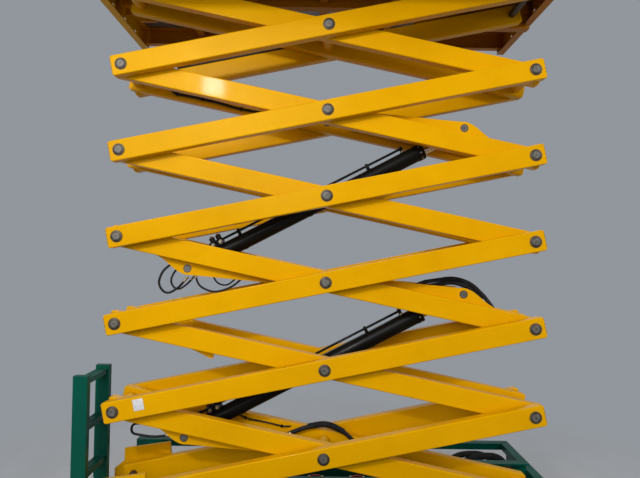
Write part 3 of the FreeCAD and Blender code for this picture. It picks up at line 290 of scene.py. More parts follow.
def hex_head(mesh, at, axis, radius, height, place=Matrix()):
    """A hexagon bolt head or nut on its washer."""
    top = Vector(at) + Vector(axis) * height * 0.2
    bar(mesh, at, top, radius * 1.35, 0.0004, 20, place)
    lathe(mesh, top, axis, [(0, radius), (height * 0.7, radius), (height * 0.85, radius * 0.85)], 6, place)


def sweep(mesh, points, radii, sides=8, closed=False, place=Matrix()):
    """A tube along points, with one radius for all or for each."""
    points = [place @ Vector(point) for point in points]
    count = len(points)
    radii = radii if isinstance(radii, list) else [radii] * count
    rings, normal = [], None
    for index, (point, radius) in enumerate(zip(points, radii)):
        before = points[(index - 1) % count] if closed or index else point
        after = points[(index + 1) % count] if closed or index < count - 1 else point
        way = (after - before).normalized()
        normal = way.orthogonal().normalized() if normal is None else normal
        normal = (normal - way * normal.dot(way)).normalized()
        side = way.cross(normal)
        rings.append([point + radius * (normal * spot.x + side * spot.y) for spot in circle(1, sides)])
    loft(mesh, rings, closed)


def weld(mesh, points, radius=0.004, closed=False, place=Matrix()):
    """A weld bead: the path cut in short steps, swelling and thinning as the puddle moved."""
    points = [place @ Vector(point) for point in points]
    path = []
    for start, end in zip(points, points[1:] + (points[:1] if closed else [])):
        steps = max(2, round((end - start).length / (radius * 0.9)))
        path += [start.lerp(end, step / steps) for step in range(steps)]
    if not closed:
        path.append(points[-1])
    radii = [radius * (1 + 0.16 * math.cos(2.1 * n) + 0.07 * math.sin(0.37 * n)) for n in range(len(path))]
    sweep(mesh, path, radii, 6, closed)


def weld_ring(mesh, centre, axis, ring_radius, radius=0.004):
    """A weld bead round a tube."""
    turn = facing(centre, axis).to_3x3()
    weld(mesh, [Vector(centre) + turn @ spot for spot in circle(ring_radius, 24)], radius, True)


BEAD_ANGLE, HOSE_ANGLE = 60, 50
THIN_WELD, HEAVY_WELD = 0.003, 0.0045
SIDES, LEVELS = (-1, 1), range(1, 7)
AHEAD, OUT, IN, UP, DOWN = (1, 0, 0), (0, 1, 0), (0, -1, 0), (0, 0, 1), (0, 0, -1)
YELLOW = (0.6, 0.285, 0.0), (0.68, 0.335, 0.0)
yellow = gloss_paint("yellow_enamel", "arm_yellow", *YELLOW, (0.09, 0.05, 0.015), 0.6, sheen=(1, 0.7, 0.2))
finish([f"{row}_arms_{level}" for row in ("outer", "inner") for level in LEVELS]
       + [f"cylinder_brackets_{level}" for level in (1, 3, 5)] + ["base_plates"], yellow)

# The stack's sizes come from the pins and arms of the frame.
COLLAR_RADIUS = 0.034
pins_low, pins_high = box("outer_pins_3")
LEFT, RIGHT = pins_low.x + COLLAR_RADIUS, pins_high.x - COLLAR_RADIUS
RISE = pins_high.z - pins_low.z - 2 * COLLAR_RADIUS
SLOPE, ARM = math.atan2(RISE, RIGHT - LEFT), math.hypot(RISE, RIGHT - LEFT)
PIN_HEIGHT = pins_low.z + COLLAR_RADIUS - 2 * RISE
ARM_WIDTH, ARM_DEPTH, OVERHANG = 0.06, 0.12, 0.06
OUTER_FACE, INNER_FACE = box("outer_arms_3")[1].y, box("inner_arms_3")[1].y
INNER_IN = INNER_FACE - ARM_WIDTH
TUBE_RADIUS, BRACE_RADIUS, BRACE_PLACE = 0.036, 0.03, 0.9
CYLINDER_LEVELS = (2, 3, 4, 5)


def arm_frame(level, lean):
    """The frame of one arm: X along it from its middle pin. Outer arms lean -1 and inner arms 1."""
    middle = ((LEFT + RIGHT) / 2, 0, PIN_HEIGHT + (level - 0.5) * RISE)
    return Matrix.Translation(middle) @ Matrix.Rotation(lean * SLOPE, 4, "Y")


for level in LEVELS:
    beads = bmesh.new()
    tubes = [(-ARM / 2, TUBE_RADIUS), (ARM / 2, TUBE_RADIUS)]
    if level in CYLINDER_LEVELS:
        tubes += [(-BRACE_PLACE * ARM / 2, BRACE_RADIUS), (BRACE_PLACE * ARM / 2, BRACE_RADIUS)]
    else:
        tubes.append((0, TUBE_RADIUS))
    for x, radius in tubes:
        for side in SIDES:
            middle = arm_frame(level, 1) @ Vector((x, side * (INNER_IN - 0.001), 0))
            weld_ring(beads, middle, OUT, radius + 0.001)
    piece(f"tube_welds_{level}", beads, yellow, f"inner_{level}", BEAD_ANGLE)

# Blank plate
# A bare white sheet-metal plate with nothing on it, riveted at its corners on the near arm of the second
# level.


def plain(name, slot, dark, light, scale, detail, roughness, specular=0.5):
    """A surface of one clouded tone."""
    surface = Surface(name, slot)
    tone = surface.ramp(surface.noise(scale, detail), 0.35, 0.7, dark, light)
    surface.shade({"Base Color": tone, "Roughness": roughness, "Specular IOR Level": specular})
    return surface


white_plate = plain("blank_plate", "component_grey", 0.5, 0.66, 60, 5, 0.45)
sign, sign_frame = bmesh.new(), arm_frame(2, -1)
RIVET = [(0, 0.0022), (0.0008, 0.0018), (0.0012, 0.001)]
block(sign, (-1.098, -OUTER_FACE - 0.0012, -0.018), (-1.038, -OUTER_FACE, 0.046), 0.0004, sign_frame)
for x in (-1.093, -1.043):
    for z in (-0.013, 0.041):
        lathe(sign, (x, -OUTER_FACE - 0.001, z), IN, RIVET, 10, sign_frame)
piece("blank_plate", sign, white_plate, "outer_2")

# Cap seams
# The weld round each arm's end cap, ground almost flush, where grease and dust have settled into a thin
# dark line.
old_dirt = plain("greasy_dirt", "arm_yellow", (0.02, 0.014, 0.008), (0.09, 0.06, 0.02), 90, 6, 0.75)
old_dirt.bump(old_dirt.noise(400, 3), 0.4, 0.0006)
CAP_CORNER, SEAM_STEPS = 0.016, 14


def cap_seam(mesh, place, face, end):
    """The seam round one arm end, thicker where dirt has filled it."""
    x = end * (ARM / 2 + OVERHANG - 0.0045)
    z = ARM_DEPTH / 2 - CAP_CORNER
    radii = [0.0009 + 0.0005 * math.sin(1.7 * step + 3 * end) for step in range(SEAM_STEPS + 1)]
    for start in ((x, face, -z), (x - end * 0.016, face, z + 0.0105)):
        path = [Vector(start).lerp(Vector((x, face, z)), step / SEAM_STEPS) for step in range(SEAM_STEPS + 1)]
        sweep(mesh, path, radii, 5, place=place)


for level in LEVELS:
    for lean, face, body in ((-1, OUTER_FACE, f"outer_{level}"), (1, INNER_FACE, f"inner_{level}")):
        seams = bmesh.new()
        for side in SIDES:
            for end in SIDES:
                cap_seam(seams, arm_frame(level, lean), side * (face - 0.0006), end)
        piece(f"cap_seams_{body}", seams, old_dirt, body)

# Arm pins
# Turned steel shafts gone grey, each with a domed head on a dark greasy collar that stands just proud of
# the arm.


def scratched(name, slot, dark, light, roughness, metallic=0.0, scale=40, relief=0.15):
    """Bare metal or moulded plastic: clouded tone and roughness with fine scratches."""
    surface = Surface(name, slot)
    cloud = surface.noise(scale, 6)
    surface.shade({"Base Color": surface.ramp(cloud, 0.35, 0.7, dark, light),
                   "Roughness": surface.ramp(cloud, 0.3, 0.75, *roughness), "Metallic": metallic})
    surface.bump(surface.noise(4 * scale, 3), relief, 0.0004, 0.001)
    return surface


pin_steel = scratched("dull_zinc", "pin_steel", (0.085, 0.08, 0.068), (0.17, 0.16, 0.135), (0.45, 0.65), 0.5)
greasy_steel = scratched("greasy_steel", "pin_steel", (0.035, 0.024, 0.014), (0.1, 0.075, 0.045), (0.35, 0.6),
                         0.4)
finish([f"outer_pins_{level}" for level in LEVELS] + ["base_rollers", "platform_pin"], greasy_steel)
finish(["tie_rod", "cylinder_pin_1", "cylinder_pin_2", "rod_pin_caps_1", "rod_pin_caps_2"], pin_steel)
HEAD_DEPTH = 0.01
PIN_COLLAR = [(0, 0.0348), (0.00264, 0.0346), (0.0044, 0.032)]
PIN_HEAD = [(0.004, 0.024), (0.008, 0.0238), (0.0096, 0.0218), (0.0106, 0.01725), (0.011, 0.0092),
            (0.0104, 0.00391), (0.009, 0.00276)]
BASE_FACE = box("outer_pins_1")[1].y - HEAD_DEPTH


def pin_head(heads, collars, at, side):
    """A domed head over its dark bearing collar, side towards +Y or -Y."""
    lathe(collars, at, (0, side, 0), PIN_COLLAR, 40)
    lathe(heads, at, (0, side, 0), PIN_HEAD, 40)


for level in LEVELS:
    heads, collars = new_meshes(2)
    for x in (-ARM / 2, 0, ARM / 2) if level < 6 else (-ARM / 2, 0):
        face = BASE_FACE if level == 1 and x < 0 else OUTER_FACE
        for side in SIDES:
            pin_head(heads, collars, arm_frame(level, -1) @ Vector((x, side * face, 0)), side)
    piece(f"pin_heads_{level}", heads, pin_steel, f"outer_{level}")
    piece(f"pin_collars_{level}", collars, greasy_steel, f"outer_{level}")
TOP_PIN_HEIGHT = PIN_HEIGHT + 6 * RISE
top_low, top_high = box("platform_pin")
heads, collars = new_meshes(2)
for side in SIDES:
    pin_head(heads, collars, (top_low.x + COLLAR_RADIUS, side * (top_high.y - HEAD_DEPTH), TOP_PIN_HEIGHT), side)
piece("pin_heads_top", heads, pin_steel, "platform")
piece("pin_collars_top", collars, greasy_steel, "platform")

# Cylinder brackets
# Thick plates welded along the arm's edges, with a keeper plate and two bolts that lock each cylinder pin.
BRACKET_ENDS = {1: (-1,), 3: (-1, 1), 5: (1,)}
BRACKET_ROOT, BRACKET_REACH, BRACKET_THICK = 0.13 * ARM / 2, 0.86 * ARM / 2, 0.012
BRACKET_IN = INNER_IN - 0.0004 - BRACKET_THICK
EYE_ALONG, EYE_OFFSET, EYE_FACE = 0.816, 0.102, box("rod_pin_caps_1")[1].y
KEEPER_Z, KEEPER_THICK = EYE_OFFSET - 0.03, 0.005
for level, ends in BRACKET_ENDS.items():
    beads, keepers, rims = new_meshes(3)
    for end in ends:
        for side in SIDES:
            place = arm_frame(level, 1) @ Matrix.Diagonal((end, side, end, 1))
            weld(beads, [(x, INNER_IN - 0.001, ARM_DEPTH / 2 - 0.002) for x in (BRACKET_ROOT, BRACKET_REACH)],
                 HEAVY_WELD, place=place)
            weld(beads, [(BRACKET_ROOT, INNER_IN - 0.003, z) for z in (-ARM_DEPTH / 6, ARM_DEPTH / 2)],
                 HEAVY_WELD, place=place)
            plate(keepers, (EYE_ALONG, BRACKET_IN - KEEPER_THICK / 2, KEEPER_Z), (0.034, KEEPER_THICK / 2, 0.009),
                  0.001, place)
            for x in (EYE_ALONG - 0.022, EYE_ALONG + 0.022):
                hex_head(keepers, (x, BRACKET_IN - KEEPER_THICK, KEEPER_Z), IN, 0.0065, 0.006, place)
            eye = (EYE_ALONG, EYE_FACE, EYE_OFFSET)
            lathe(rims, eye, OUT, [(0, 0.0245), (0.00015, 0.0243)], 32, place)
            lathe(keepers, eye, OUT, [(0.0001, 0.0185), (0.00025, 0.0183)], 32, place)
            lathe(rims, eye, OUT, [(0.0002, 0.008), (0.00035, 0.008)], 6, place)
    piece(f"bracket_welds_{level}", beads, yellow, f"inner_{level}", BEAD_ANGLE)
    piece(f"pin_keepers_{level}", keepers, pin_steel, f"inner_{level}")
    piece(f"eye_rims_{level}", rims, greasy_steel, f"inner_{level}")

# Lift cylinders
# Seamless barrels sprayed gloss black, with a steel pipe strapped along the top, a screwed gland, a valve
# block at the foot and a hard-chromed rod.
black = gloss_paint("black_enamel", "black_paint", 0.002, (0.006, 0.0055, 0.004), 0.03, 0.4, 0.4)
chrome = scratched("hard_chrome", "chromed_rod", 0.55, 0.7, (0.08, 0.16), 1.0)
coil_plastic = scratched("coil_plastic", "component_grey", 0.012, 0.02, (0.45, 0.6))
zinc = scratched("fittings_zinc", "pin_steel", (0.3, 0.27, 0.18), (0.45, 0.41, 0.28), (0.25, 0.4), 0.9)
finish(["cylinder_barrel_1", "cylinder_barrel_2"], black)
finish(["cylinder_rod_1", "cylinder_rod_2"], chrome)
joints = {joint["name"]: joint for joint in frame["joints"]}
BARREL_RADIUS, BARREL_END, EYE_RADIUS = 0.048, 1.5875, 0.038
PIPE_RADIUS, PIPE_GAP = 0.0075, 0.016
PIPE_Z = BARREL_RADIUS + PIPE_GAP + PIPE_RADIUS
STRAP_WALL, STRAP_WIDTH = 0.0025, 0.022
STUD = [(0, 0.0055), (0.0012, 0.0055), (0.0018, 0.0045)]
COIL = [(0, 0.014), (0.002, 0.017), (0.028, 0.017), (0.03, 0.014)]
COIL_LEAD = [(0, 0.046, 0.096), (-0.01, 0.06, 0.1), (-0.03, 0.066, 0.085), (-0.05, 0.056, 0.06),
             (-0.06, 0.048, 0.03)]


def strap(mesh, x, place):
    """A steel band round the barrel with a saddle that holds the pipe."""
    inside, outside = BARREL_RADIUS - 0.001, BARREL_RADIUS + STRAP_WALL
    lathe(mesh, (x - STRAP_WIDTH / 2, 0, 0), AHEAD,
          [(0, inside), (0, outside), (STRAP_WIDTH, outside), (STRAP_WIDTH, inside)], 40, place)
    block(mesh, (x - 0.01, -0.011, inside), (x + 0.01, 0.011, PIPE_Z + 0.01), 0.0015, place)
    hex_head(mesh, (x, 0, PIPE_Z + 0.01), UP, 0.0055, 0.005, place)


for number in (1, 2):
    way = Vector(joints[f"cylinder_{number}_stroke"]["axis"])
    foot = Matrix.Translation(joints[f"cylinder_{number}_swing"]["pos_m"])
    place = foot @ Matrix.Rotation(-math.atan2(way.z, way.x), 4, "Y")
    straps, beads, screws, coils = new_meshes(4)
    for x in (0.36, 0.8, 1.24):
        strap(straps, x, place)
    for x, radius in ((0.029, BARREL_RADIUS + 0.001), (0.001, BARREL_RADIUS - 0.004)):
        weld_ring(beads, place @ Vector((EYE_RADIUS + x, 0, 0)), way, radius, 0.005)
    for x in (0.122, BARREL_END - 0.114):
        hex_head(screws, (x, 0, BARREL_RADIUS - 0.001), UP, 0.0125, 0.012, place)
        hex_head(screws, (x, 0, PIPE_Z + PIPE_RADIUS + 0.001), UP, 0.0095, 0.007, place)
    for spot in circle(BARREL_RADIUS + 0.0018, 8, 0.2):
        lathe(screws, (BARREL_END - 0.022, spot.x, spot.y), (0, spot.x, spot.y), STUD, 12, place)
    for x in (0.187, 0.237):
        hex_head(screws, (x, -0.032, 0.06), IN, 0.009, 0.012, place)
    for x in (0.19, 0.232):
        lathe(coils, (x, 0.012, 0.08), UP, COIL, 24, place)
        plate(coils, (x, 0.035, 0.096), (0.009, 0.011, 0.01), 0.002, place)
        hex_head(screws, (x, 0.012, 0.11), UP, 0.008, 0.008, place)
        sweep(coils, [(x + along, y, z) for along, y, z in COIL_LEAD], 0.0028, place=place)
    piece(f"cylinder_straps_{number}", straps, black, f"barrel_{number}")
    piece(f"cylinder_welds_{number}", beads, black, f"barrel_{number}", BEAD_ANGLE)
    piece(f"cylinder_fittings_{number}", screws, zinc, f"barrel_{number}")
    piece(f"cylinder_coils_{number}", coils, coil_plastic, f"barrel_{number}")

# Cable duct
# A black plastic pipe strapped along the top edge of the far upper arm, with a swollen gland at each end
# and the thin cable to the platform that it carries.
duct_frame = arm_frame(6, -1)
DUCT_RADIUS, DUCT_START, DUCT_END, ARM_TOP = 0.0165, -0.985, -0.07, ARM_DEPTH / 2
duct_y, duct_z = OUTER_FACE - ARM_WIDTH + 0.022, ARM_TOP + DUCT_RADIUS + 0.0005
GLAND = [(0, 0.009), (0.004, 0.0175), (0.03, 0.0195), (0.085, 0.0195), (0.09, DUCT_RADIUS)]
duct, saddles = new_meshes(2)
for end, way in ((DUCT_START, 1), (DUCT_END, -1)):
    lathe(duct, (end, duct_y, duct_z + 0.003), (way, 0, 0), GLAND, 32, duct_frame)
bar(duct, (DUCT_START + 0.08, duct_y, duct_z), (DUCT_END - 0.08, duct_y, duct_z), DUCT_RADIUS, place=duct_frame)
sweep(duct, [(DUCT_END + x, duct_y, z) for x, z in (
    (-0.01, duct_z), (0.02, duct_z), (0.05, duct_z - 0.006), (0.08, ARM_TOP + 0.005), (0.11, ARM_TOP + 0.003),
    (0.15, ARM_TOP + 0.003))], 0.003, place=duct_frame)
for x in (-0.78, -0.52, -0.26):
    block(saddles, (x - 0.009, duct_y - 0.0185, ARM_TOP - 0.0005), (x + 0.009, duct_y + 0.0185, duct_z + 0.018),
          0.003, duct_frame)
piece("cable_duct", duct, coil_plastic, "outer_6")
piece("duct_saddles", saddles, black, "outer_6")

# Hydraulic hoses
# Wire-braided hose with a ribbed black cover, each end crimped into a zinc-plated ferrule and nut. They
# run inside the arms, looped so that the stack can open and close.
rubber_cover = plain("hose_cover", "hose_rubber", 0.005, 0.015, 30, 5, 0.6, 0.25)
rubber_cover.bump(rubber_cover.noise(500, 2), 0.25, 0.0005)
finish(["hoses_inner_1", "hoses_inner_3", "hoses_chassis"], rubber_cover)
HOSE_ENDS = {
    # level: hose radius, end point and the point before it, in the inner arm's frame
    1: [(0.007, (-0.9, -0.0703, -0.04), (-1.01, -0.066, -0.06)),
        (0.007, (-0.9, -0.0703, -0.11), (-1.000, -0.056, -0.15)),
        (0.013, (-0.23, 0.0643, -0.01), (-0.13, 0.064, 0.06)),
        (0.013, (0.23, 0.0767, 0.000), (0.13, 0.07, 0.08))],
    3: [(0.007, (-0.88, -0.0703, -0.05), (-0.965, -0.066, -0.15)),
        (0.007, (-0.812, -0.0703, -0.16), (-0.85, -0.058, -0.23)),
        (0.006, (-0.86, 0.0713, -0.06), (-0.93, 0.066, -0.15)),
        (0.006, (-0.8, 0.0713, -0.15), (-0.835, 0.06, -0.215)),
        (0.006, (-0.77, -0.0713, -0.12), (-0.735, -0.066, -0.19)),
        (0.006, (-0.46, -0.0713, -0.05), (-0.54, -0.068, -0.16)),
        (0.005, (-0.7, 0.0723, -0.11), (-0.655, 0.066, -0.165)),
        (0.005, (-0.5, 0.0723, -0.05), (-0.59, 0.066, -0.168)),
        (0.012, (0.47, -0.0653, 0.04), (0.56, -0.064, 0.118)),
        (0.012, (1.05, -0.0653, 0.02), (0.96, -0.064, 0.108))],
}
for level, ends in HOSE_ENDS.items():
    ferrules = bmesh.new()
    for radius, end, before in ends:
        back = (Vector(before) - Vector(end)).normalized()
        profile = [(-0.014, radius * 0.62), (-0.002, radius * 0.62), (-0.002, radius + 0.0002)]
        for ring in range(5):
            profile += [(0.004 + 0.005 * ring, radius + 0.0012), (0.0062 + 0.005 * ring, radius + 0.0004)]
        lathe(ferrules, end, back, profile + [(0.03, radius + 0.0002)], 20, arm_frame(level, 1))
        hex_head(ferrules, Vector(end) - back * 0.003, -back, radius * 1.15, radius * 1.3, arm_frame(level, 1))
    piece(f"hose_ferrules_inner_{level}", ferrules, zinc, f"inner_{level}")

# Hose sleeves
# Black woven sleeves pulled over the hoses where they arch clear of the arms and of the chassis, gathered
# at both ends with a cable tie.
sleeve_weave = plain("woven_sleeve", "hose_rubber", 0.004, 0.012, 60, 4, 0.8, 0.2)
weave = sleeve_weave.node("TexVoronoi", {"Vector": sleeve_weave.vector, "Scale": 420})
sleeve_weave.bump(weave.outputs["Distance"], 0.5, 0.0008)


def rounded(points, steps=8):
    """A path through points with every corner turned into a curve."""
    points = [Vector(point) for point in points]
    path = [points[0]]
    for before, corner, after in zip(points, points[1:], points[2:]):
        reach = 0.45 * min((corner - before).length, (after - corner).length)
        entry = corner + (before - corner).normalized() * reach
        leave = corner + (after - corner).normalized() * reach
        path += [entry.lerp(corner, n / steps).lerp(corner.lerp(leave, n / steps), n / steps)
                 for n in range(steps + 1)]
    return path + [points[-1]]


RIM_TOP, RIM_DEPTH = 0.552, 0.046
chassis_front = Matrix.Translation((box("hoses_chassis")[0].x + 0.6727, 0, RIM_TOP - RIM_DEPTH))
SLEEVES = [
    # body, frame, radius, path
    ("inner_3", arm_frame(3, 1), 0.0127, [
        (0.575, -0.064, 0.124), (0.745, -0.064, 0.186), (0.85, -0.064, 0.176), (0.952, -0.064, 0.113)]),
    ("inner_3", arm_frame(3, 1), 0.0127, [
        (0.6, -0.064, 0.105), (0.745, -0.064, 0.161), (0.842, -0.064, 0.151), (0.935, -0.064, 0.096)]),
    ("inner_1", arm_frame(1, 1), 0.0185, [(-0.112, 0.0693, 0.068), (0, 0.0693, 0.112), (0.112, 0.0693, 0.084)]),
    ("chassis", chassis_front, 0.02, [
        (-0.54, 0.477, 0.016), (-0.42, 0.52, 0.052), (-0.27, 0.54, 0.048), (-0.16, 0.5446, -0.022)]),
    ("chassis", chassis_front, 0.023, [
        (-0.45, 0.495, -0.01), (-0.3, 0.495, 0.05), (-0.165, 0.495, 0.046), (-0.09, 0.495, -0.05),
        (-0.085, 0.495, -0.17)]),
    ("chassis", chassis_front, 0.013, [
        (-0.6, 0.383, -0.098), (-0.48, 0.4, 0), (-0.33, 0.43, 0.04), (-0.21, 0.439, 0.012)]),
]
for number, (body, place, radius, points) in enumerate(SLEEVES, 1):
    path = rounded([place @ Vector(point) for point in points])
    radii = [radius * min(1, 0.9 + 0.1 * min(n, len(path) - 1 - n)) for n in range(len(path))]
    sleeve = bmesh.new()
    sweep(sleeve, path, radii, 20)
    for tie, ahead in ((path[1], path[0]), (path[-2], path[-1])):
        way = (ahead - tie).normalized()
        low, high = radius - 0.001, radius + 0.0005
        lathe(sleeve, tie - way * 0.002, way, [(0, low), (0.001, high), (0.004, high), (0.005, low)], 24)
    piece(f"hose_sleeve_{number}", sleeve, sleeve_weave, body, HOSE_ANGLE)

# Clipped lines
# A hydraulic line and a sensor cable held by clips along the inside of the far inner arms.
ARM_INSIDE = OUTER_FACE - 2 * ARM_WIDTH - 0.005
CLIPPED_LINES = [
    # level, radius, clips along the arm, path as places along the arm and heights
    (5, 0.0085, (-0.96, -0.78, -0.55), [
        (-1.03, 0.035), (-0.99, -0.03), (-0.86, -0.024), (-0.7, -0.026), (-0.58, -0.034), (-0.48, -0.032),
        (-0.4, -0.03)]),
    (1, 0.005, (-0.5, -0.27), [
        (-0.54, 0.04), (-0.48, 0.028), (-0.36, 0.032), (-0.26, 0.029), (-0.215, 0.04)]),
]
for level, radius, clips, points in CLIPPED_LINES:
    line, holders = new_meshes(2)
    y = ARM_INSIDE - radius - 0.0005
    path = rounded([(x, y, z) for x, z in points])
    sweep(line, path, radius, 16, place=arm_frame(level, 1))
    for x in clips:
        middle = min(path, key=lambda point: abs(point.x - x))
        block(holders, (middle.x - 0.006, y - radius - 0.001, middle.z - radius - 0.003),
              (middle.x + 0.006, ARM_INSIDE + 0.0005, middle.z + radius + 0.003), 0.002, arm_frame(level, 1))
    piece(f"clipped_line_{level}", line, rubber_cover, f"inner_{level}", HOSE_ANGLE)
    piece(f"line_clips_{level}", holders, black, f"inner_{level}")

# Prop rest
# A small tapered plate welded inside the near arm of the second level, where the service prop rests.
REST_OUTLINE = [(-0.85, -0.05), (-0.655, -0.04), (-0.65, -0.092), (-0.658, -0.103), (-0.672, -0.101),
                (-0.805, -0.069)]
REST_FACES = (-0.0895, -0.0815)
rest, rest_frame = bmesh.new(), arm_frame(2, 1)
loft(rest, [[rest_frame @ Vector((x, y, z)) for x, z in REST_OUTLINE] for y in REST_FACES])
weld(rest, [(-0.848, -0.081, -0.0395), (-0.657, -0.081, -0.0395)], place=rest_frame)
piece("prop_rest", rest, yellow, "inner_2")

# Chassis
# A welded frame of rim bars, end plates and rectangular main rails sprayed deep green. The roller tracks
# are greased channels, and the towing and tie-down holes are ringed with weld.
green = gloss_paint("green_enamel", "chassis_green", (0.0, 0.052, 0.032), (0.001, 0.076, 0.049),
                    (0.03, 0.03, 0.028), 0.6)
finish(["chassis_frame", "axles", "knuckle_left", "knuckle_right", "door_left", "door_right", "ladder"], green)
chassis_low, chassis_high = box("chassis_frame")
END_RECESS, END_PLATE, RIM_WIDTH = 0.027, 0.01, 0.06
RAIL_INNER, RAIL_OUTER, RAIL_BOTTOM = 0.222, 0.282, 0.33
HALF_WIDTH, SKIRT_BOTTOM = chassis_high.y, chassis_low.z
AXLE_X, ARCH_HALF, AXLE_HEIGHT, KINGPIN_Y = 1.025, 0.295, 0.203, 0.6
STACK_X = (LEFT + RIGHT) / 2
BAY_BACK, BAY_FRONT = STACK_X - AXLE_X + ARCH_HALF, STACK_X + AXLE_X - ARCH_HALF
BACK_END, FRONT_END = chassis_low.x + END_RECESS, chassis_high.x
beads, bolts = new_meshes(2)
for side in SIDES:
    inner, outer = side * RAIL_INNER, side * RAIL_OUTER
    for x in (BAY_BACK, BAY_BACK + END_PLATE, BAY_FRONT - END_PLATE, BAY_FRONT):
        weld(beads, [(x, outer, SKIRT_BOTTOM + 0.012), (x, outer, 0.505)])
    for x in (BACK_END + END_PLATE, FRONT_END - END_PLATE):
        weld(beads, [(x, outer, RAIL_BOTTOM), (x, outer, 0.425)], HEAVY_WELD)
        weld(beads, [(x, inner, RAIL_BOTTOM), (x, outer, RAIL_BOTTOM)], HEAVY_WELD)
    for x, way in ((BACK_END, -1), (FRONT_END, 1)):
        weld_ring(beads, (x, side * 0.6, 0.3), (way, 0, 0), 0.021, THIN_WELD)
    weld(beads, [(FRONT_END - RIM_WIDTH, side * (HALF_WIDTH - RIM_WIDTH), RIM_TOP),
                 (FRONT_END - 0.001, side * (HALF_WIDTH - 0.001), RIM_TOP)], 0.002)
    for x in (-0.35, -0.29, 0.29, 0.35):
        weld(beads, [(STACK_X + x, inner, RAIL_BOTTOM + 0.002), (STACK_X + x, inner, 0.448)])
    for y in (0.32, 0.44, 0.56, 0.68):
        hex_head(bolts, (FRONT_END - 0.0065, side * y, 0.5), AHEAD, 0.008, 0.007)
    for x in (0.21, 0.3, 0.39):
        hex_head(bolts, (BAY_BACK + x, side * 0.5, SKIRT_BOTTOM), DOWN, 0.007, 0.006)
piece("chassis_welds", beads, green, "chassis", BEAD_ANGLE)
piece("chassis_bolts", bolts, zinc, "chassis")

# Base plates
# Pivot plates in the stack's yellow, bolted down through the main rails and welded along their foot.
beads = bmesh.new()
base_low, base_high = box("base_plates")
BASE_PLATE_FACES = (0.229, 0.249)
for side in SIDES:
    for y in BASE_PLATE_FACES:
        weld(beads, [(base_low.x, side * y, base_low.z), (base_high.x, side * y, base_low.z)], HEAVY_WELD)
piece("base_plate_welds", beads, yellow, "chassis", BEAD_ANGLE)

# Compartment doors
# Pressed steel doors with a stiffening panel, louvres over the pump or batteries, hinge knuckles and a
# flush black paddle latch.
DOOR_FACE, LOUVRES, LOUVRE_PITCH, LOUVRE_TILT = 0.798, 9, 0.022, 0.5
for side, sign in (("left", 1), ("right", -1)):
    low, high = box(f"door_{side}")
    place = Matrix.Translation((0, sign * DOOR_FACE, low.z))
    height, latch_x = high.z - low.z, high.x - 0.11
    near, far = sorted((0, sign * 0.0015))
    skin, latch = new_meshes(2)
    for start, end in ((low.x + 0.06, STACK_X - 0.3), (STACK_X + 0.3, high.x - 0.06)):
        block(skin, (start, near, 0.05), (end, far, height - 0.05), 0.0007, place)
    for louvre in range(LOUVRES):
        at = Matrix.Translation((STACK_X, -sign * 0.0045, 0.085 + LOUVRE_PITCH * louvre))
        tilt = Matrix.Rotation(sign * LOUVRE_TILT, 4, "X")
        plate(skin, (0, 0, 0), (0.23, 0.0055, 0.006), 0.002, place @ at @ tilt)
    place @= Matrix.Translation((latch_x, 0, height / 2))
    block(latch, (-0.055, near, -0.045), (0.055, far + 0.001, 0.045), 0.001, place)
    plate(latch, (-0.006, sign * 0.002, 0), (0.034, 0.004, 0.03), 0.003, place)
    lathe(latch, (0.041, 0, 0), (0, sign, 0), [(0, 0.01), (0.004, 0.01), (0.005, 0.008)], 24, place)
    piece(f"door_panel_{side}", skin, green, f"door_{side}")
    piece(f"door_latch_{side}", latch, coil_plastic, f"door_{side}")

# Batteries
# Four deep-cycle batteries: ribbed black cases with a lighter lid, three screw caps each and heavy
# leads from post to post.
case_plastic = scratched("moulded_case", "component_grey", 0.018, 0.032, (0.45, 0.65), 0.0, 60, 0.3)
lid_plastic = scratched("moulded_lid", "component_grey", 0.1, 0.15, (0.4, 0.6), 0.0, 60, 0.3)
red_cover = scratched("red_cover", "component_grey", (0.28, 0.008, 0.006), (0.42, 0.014, 0.01), (0.35, 0.5))
battery_low, battery_high = box("batteries")
BATTERY_LENGTH, BATTERY_PITCH, CASE_RIBS, RIB_PITCH = 0.26, 0.29, 7, 0.034
cases, lids, posts, leads = new_meshes(4)
_, width, height = battery_high - battery_low
lid, middle, post_y = height - 0.05, width / 2, width - 0.03
for index in range(4):
    place = Matrix.Translation(battery_low + Vector((index * BATTERY_PITCH, 0, 0)))
    block(cases, (0.003, 0.003, 0), (BATTERY_LENGTH - 0.003, width - 0.003, lid), 0.006, place)
    for rib in range(CASE_RIBS):
        x = 0.028 + rib * RIB_PITCH
        for y in (0.003, width - 0.003):
            block(cases, (x - 0.003, y - 0.003, 0.02), (x + 0.003, y + 0.003, lid - 0.01), 0.001, place)
    block(lids, (0, 0, lid), (BATTERY_LENGTH, width, lid + 0.024), 0.004, place)
    block(lids, (0.03, middle - 0.03, lid + 0.02), (BATTERY_LENGTH - 0.03, middle + 0.03, lid + 0.032), 0.004, place)
    for x in (0.065, 0.13, 0.195):
        lathe(cases, (x, middle, lid + 0.03), UP, [(0, 0.017), (0.008, 0.017), (0.011, 0.013)], 12, place)
    for x in (0.03, BATTERY_LENGTH - 0.03):
        lathe(posts, (x, post_y, lid + 0.022), UP, [(0, 0.01), (0.018, 0.009), (0.019, 0.007)], 16, place)
        hex_head(posts, (x, post_y, lid + 0.034), UP, 0.006, 0.006, place)
    if index < 3:
        sweep(leads, [(BATTERY_LENGTH - 0.03 + x, post_y, lid + z) for x, z in (
            (0, 0.034), (0.02, 0.04), (0.045, 0.043), (0.07, 0.04), (0.09, 0.034))], 0.0065, 12, place=place)
battery_cases = piece("battery_cases", cases, case_plastic, "chassis")
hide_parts("batteries")
piece("battery_lids", lids, lid_plastic, "chassis")
piece("battery_posts", posts, zinc, "chassis")
piece("battery_leads", leads, red_cover, "chassis")

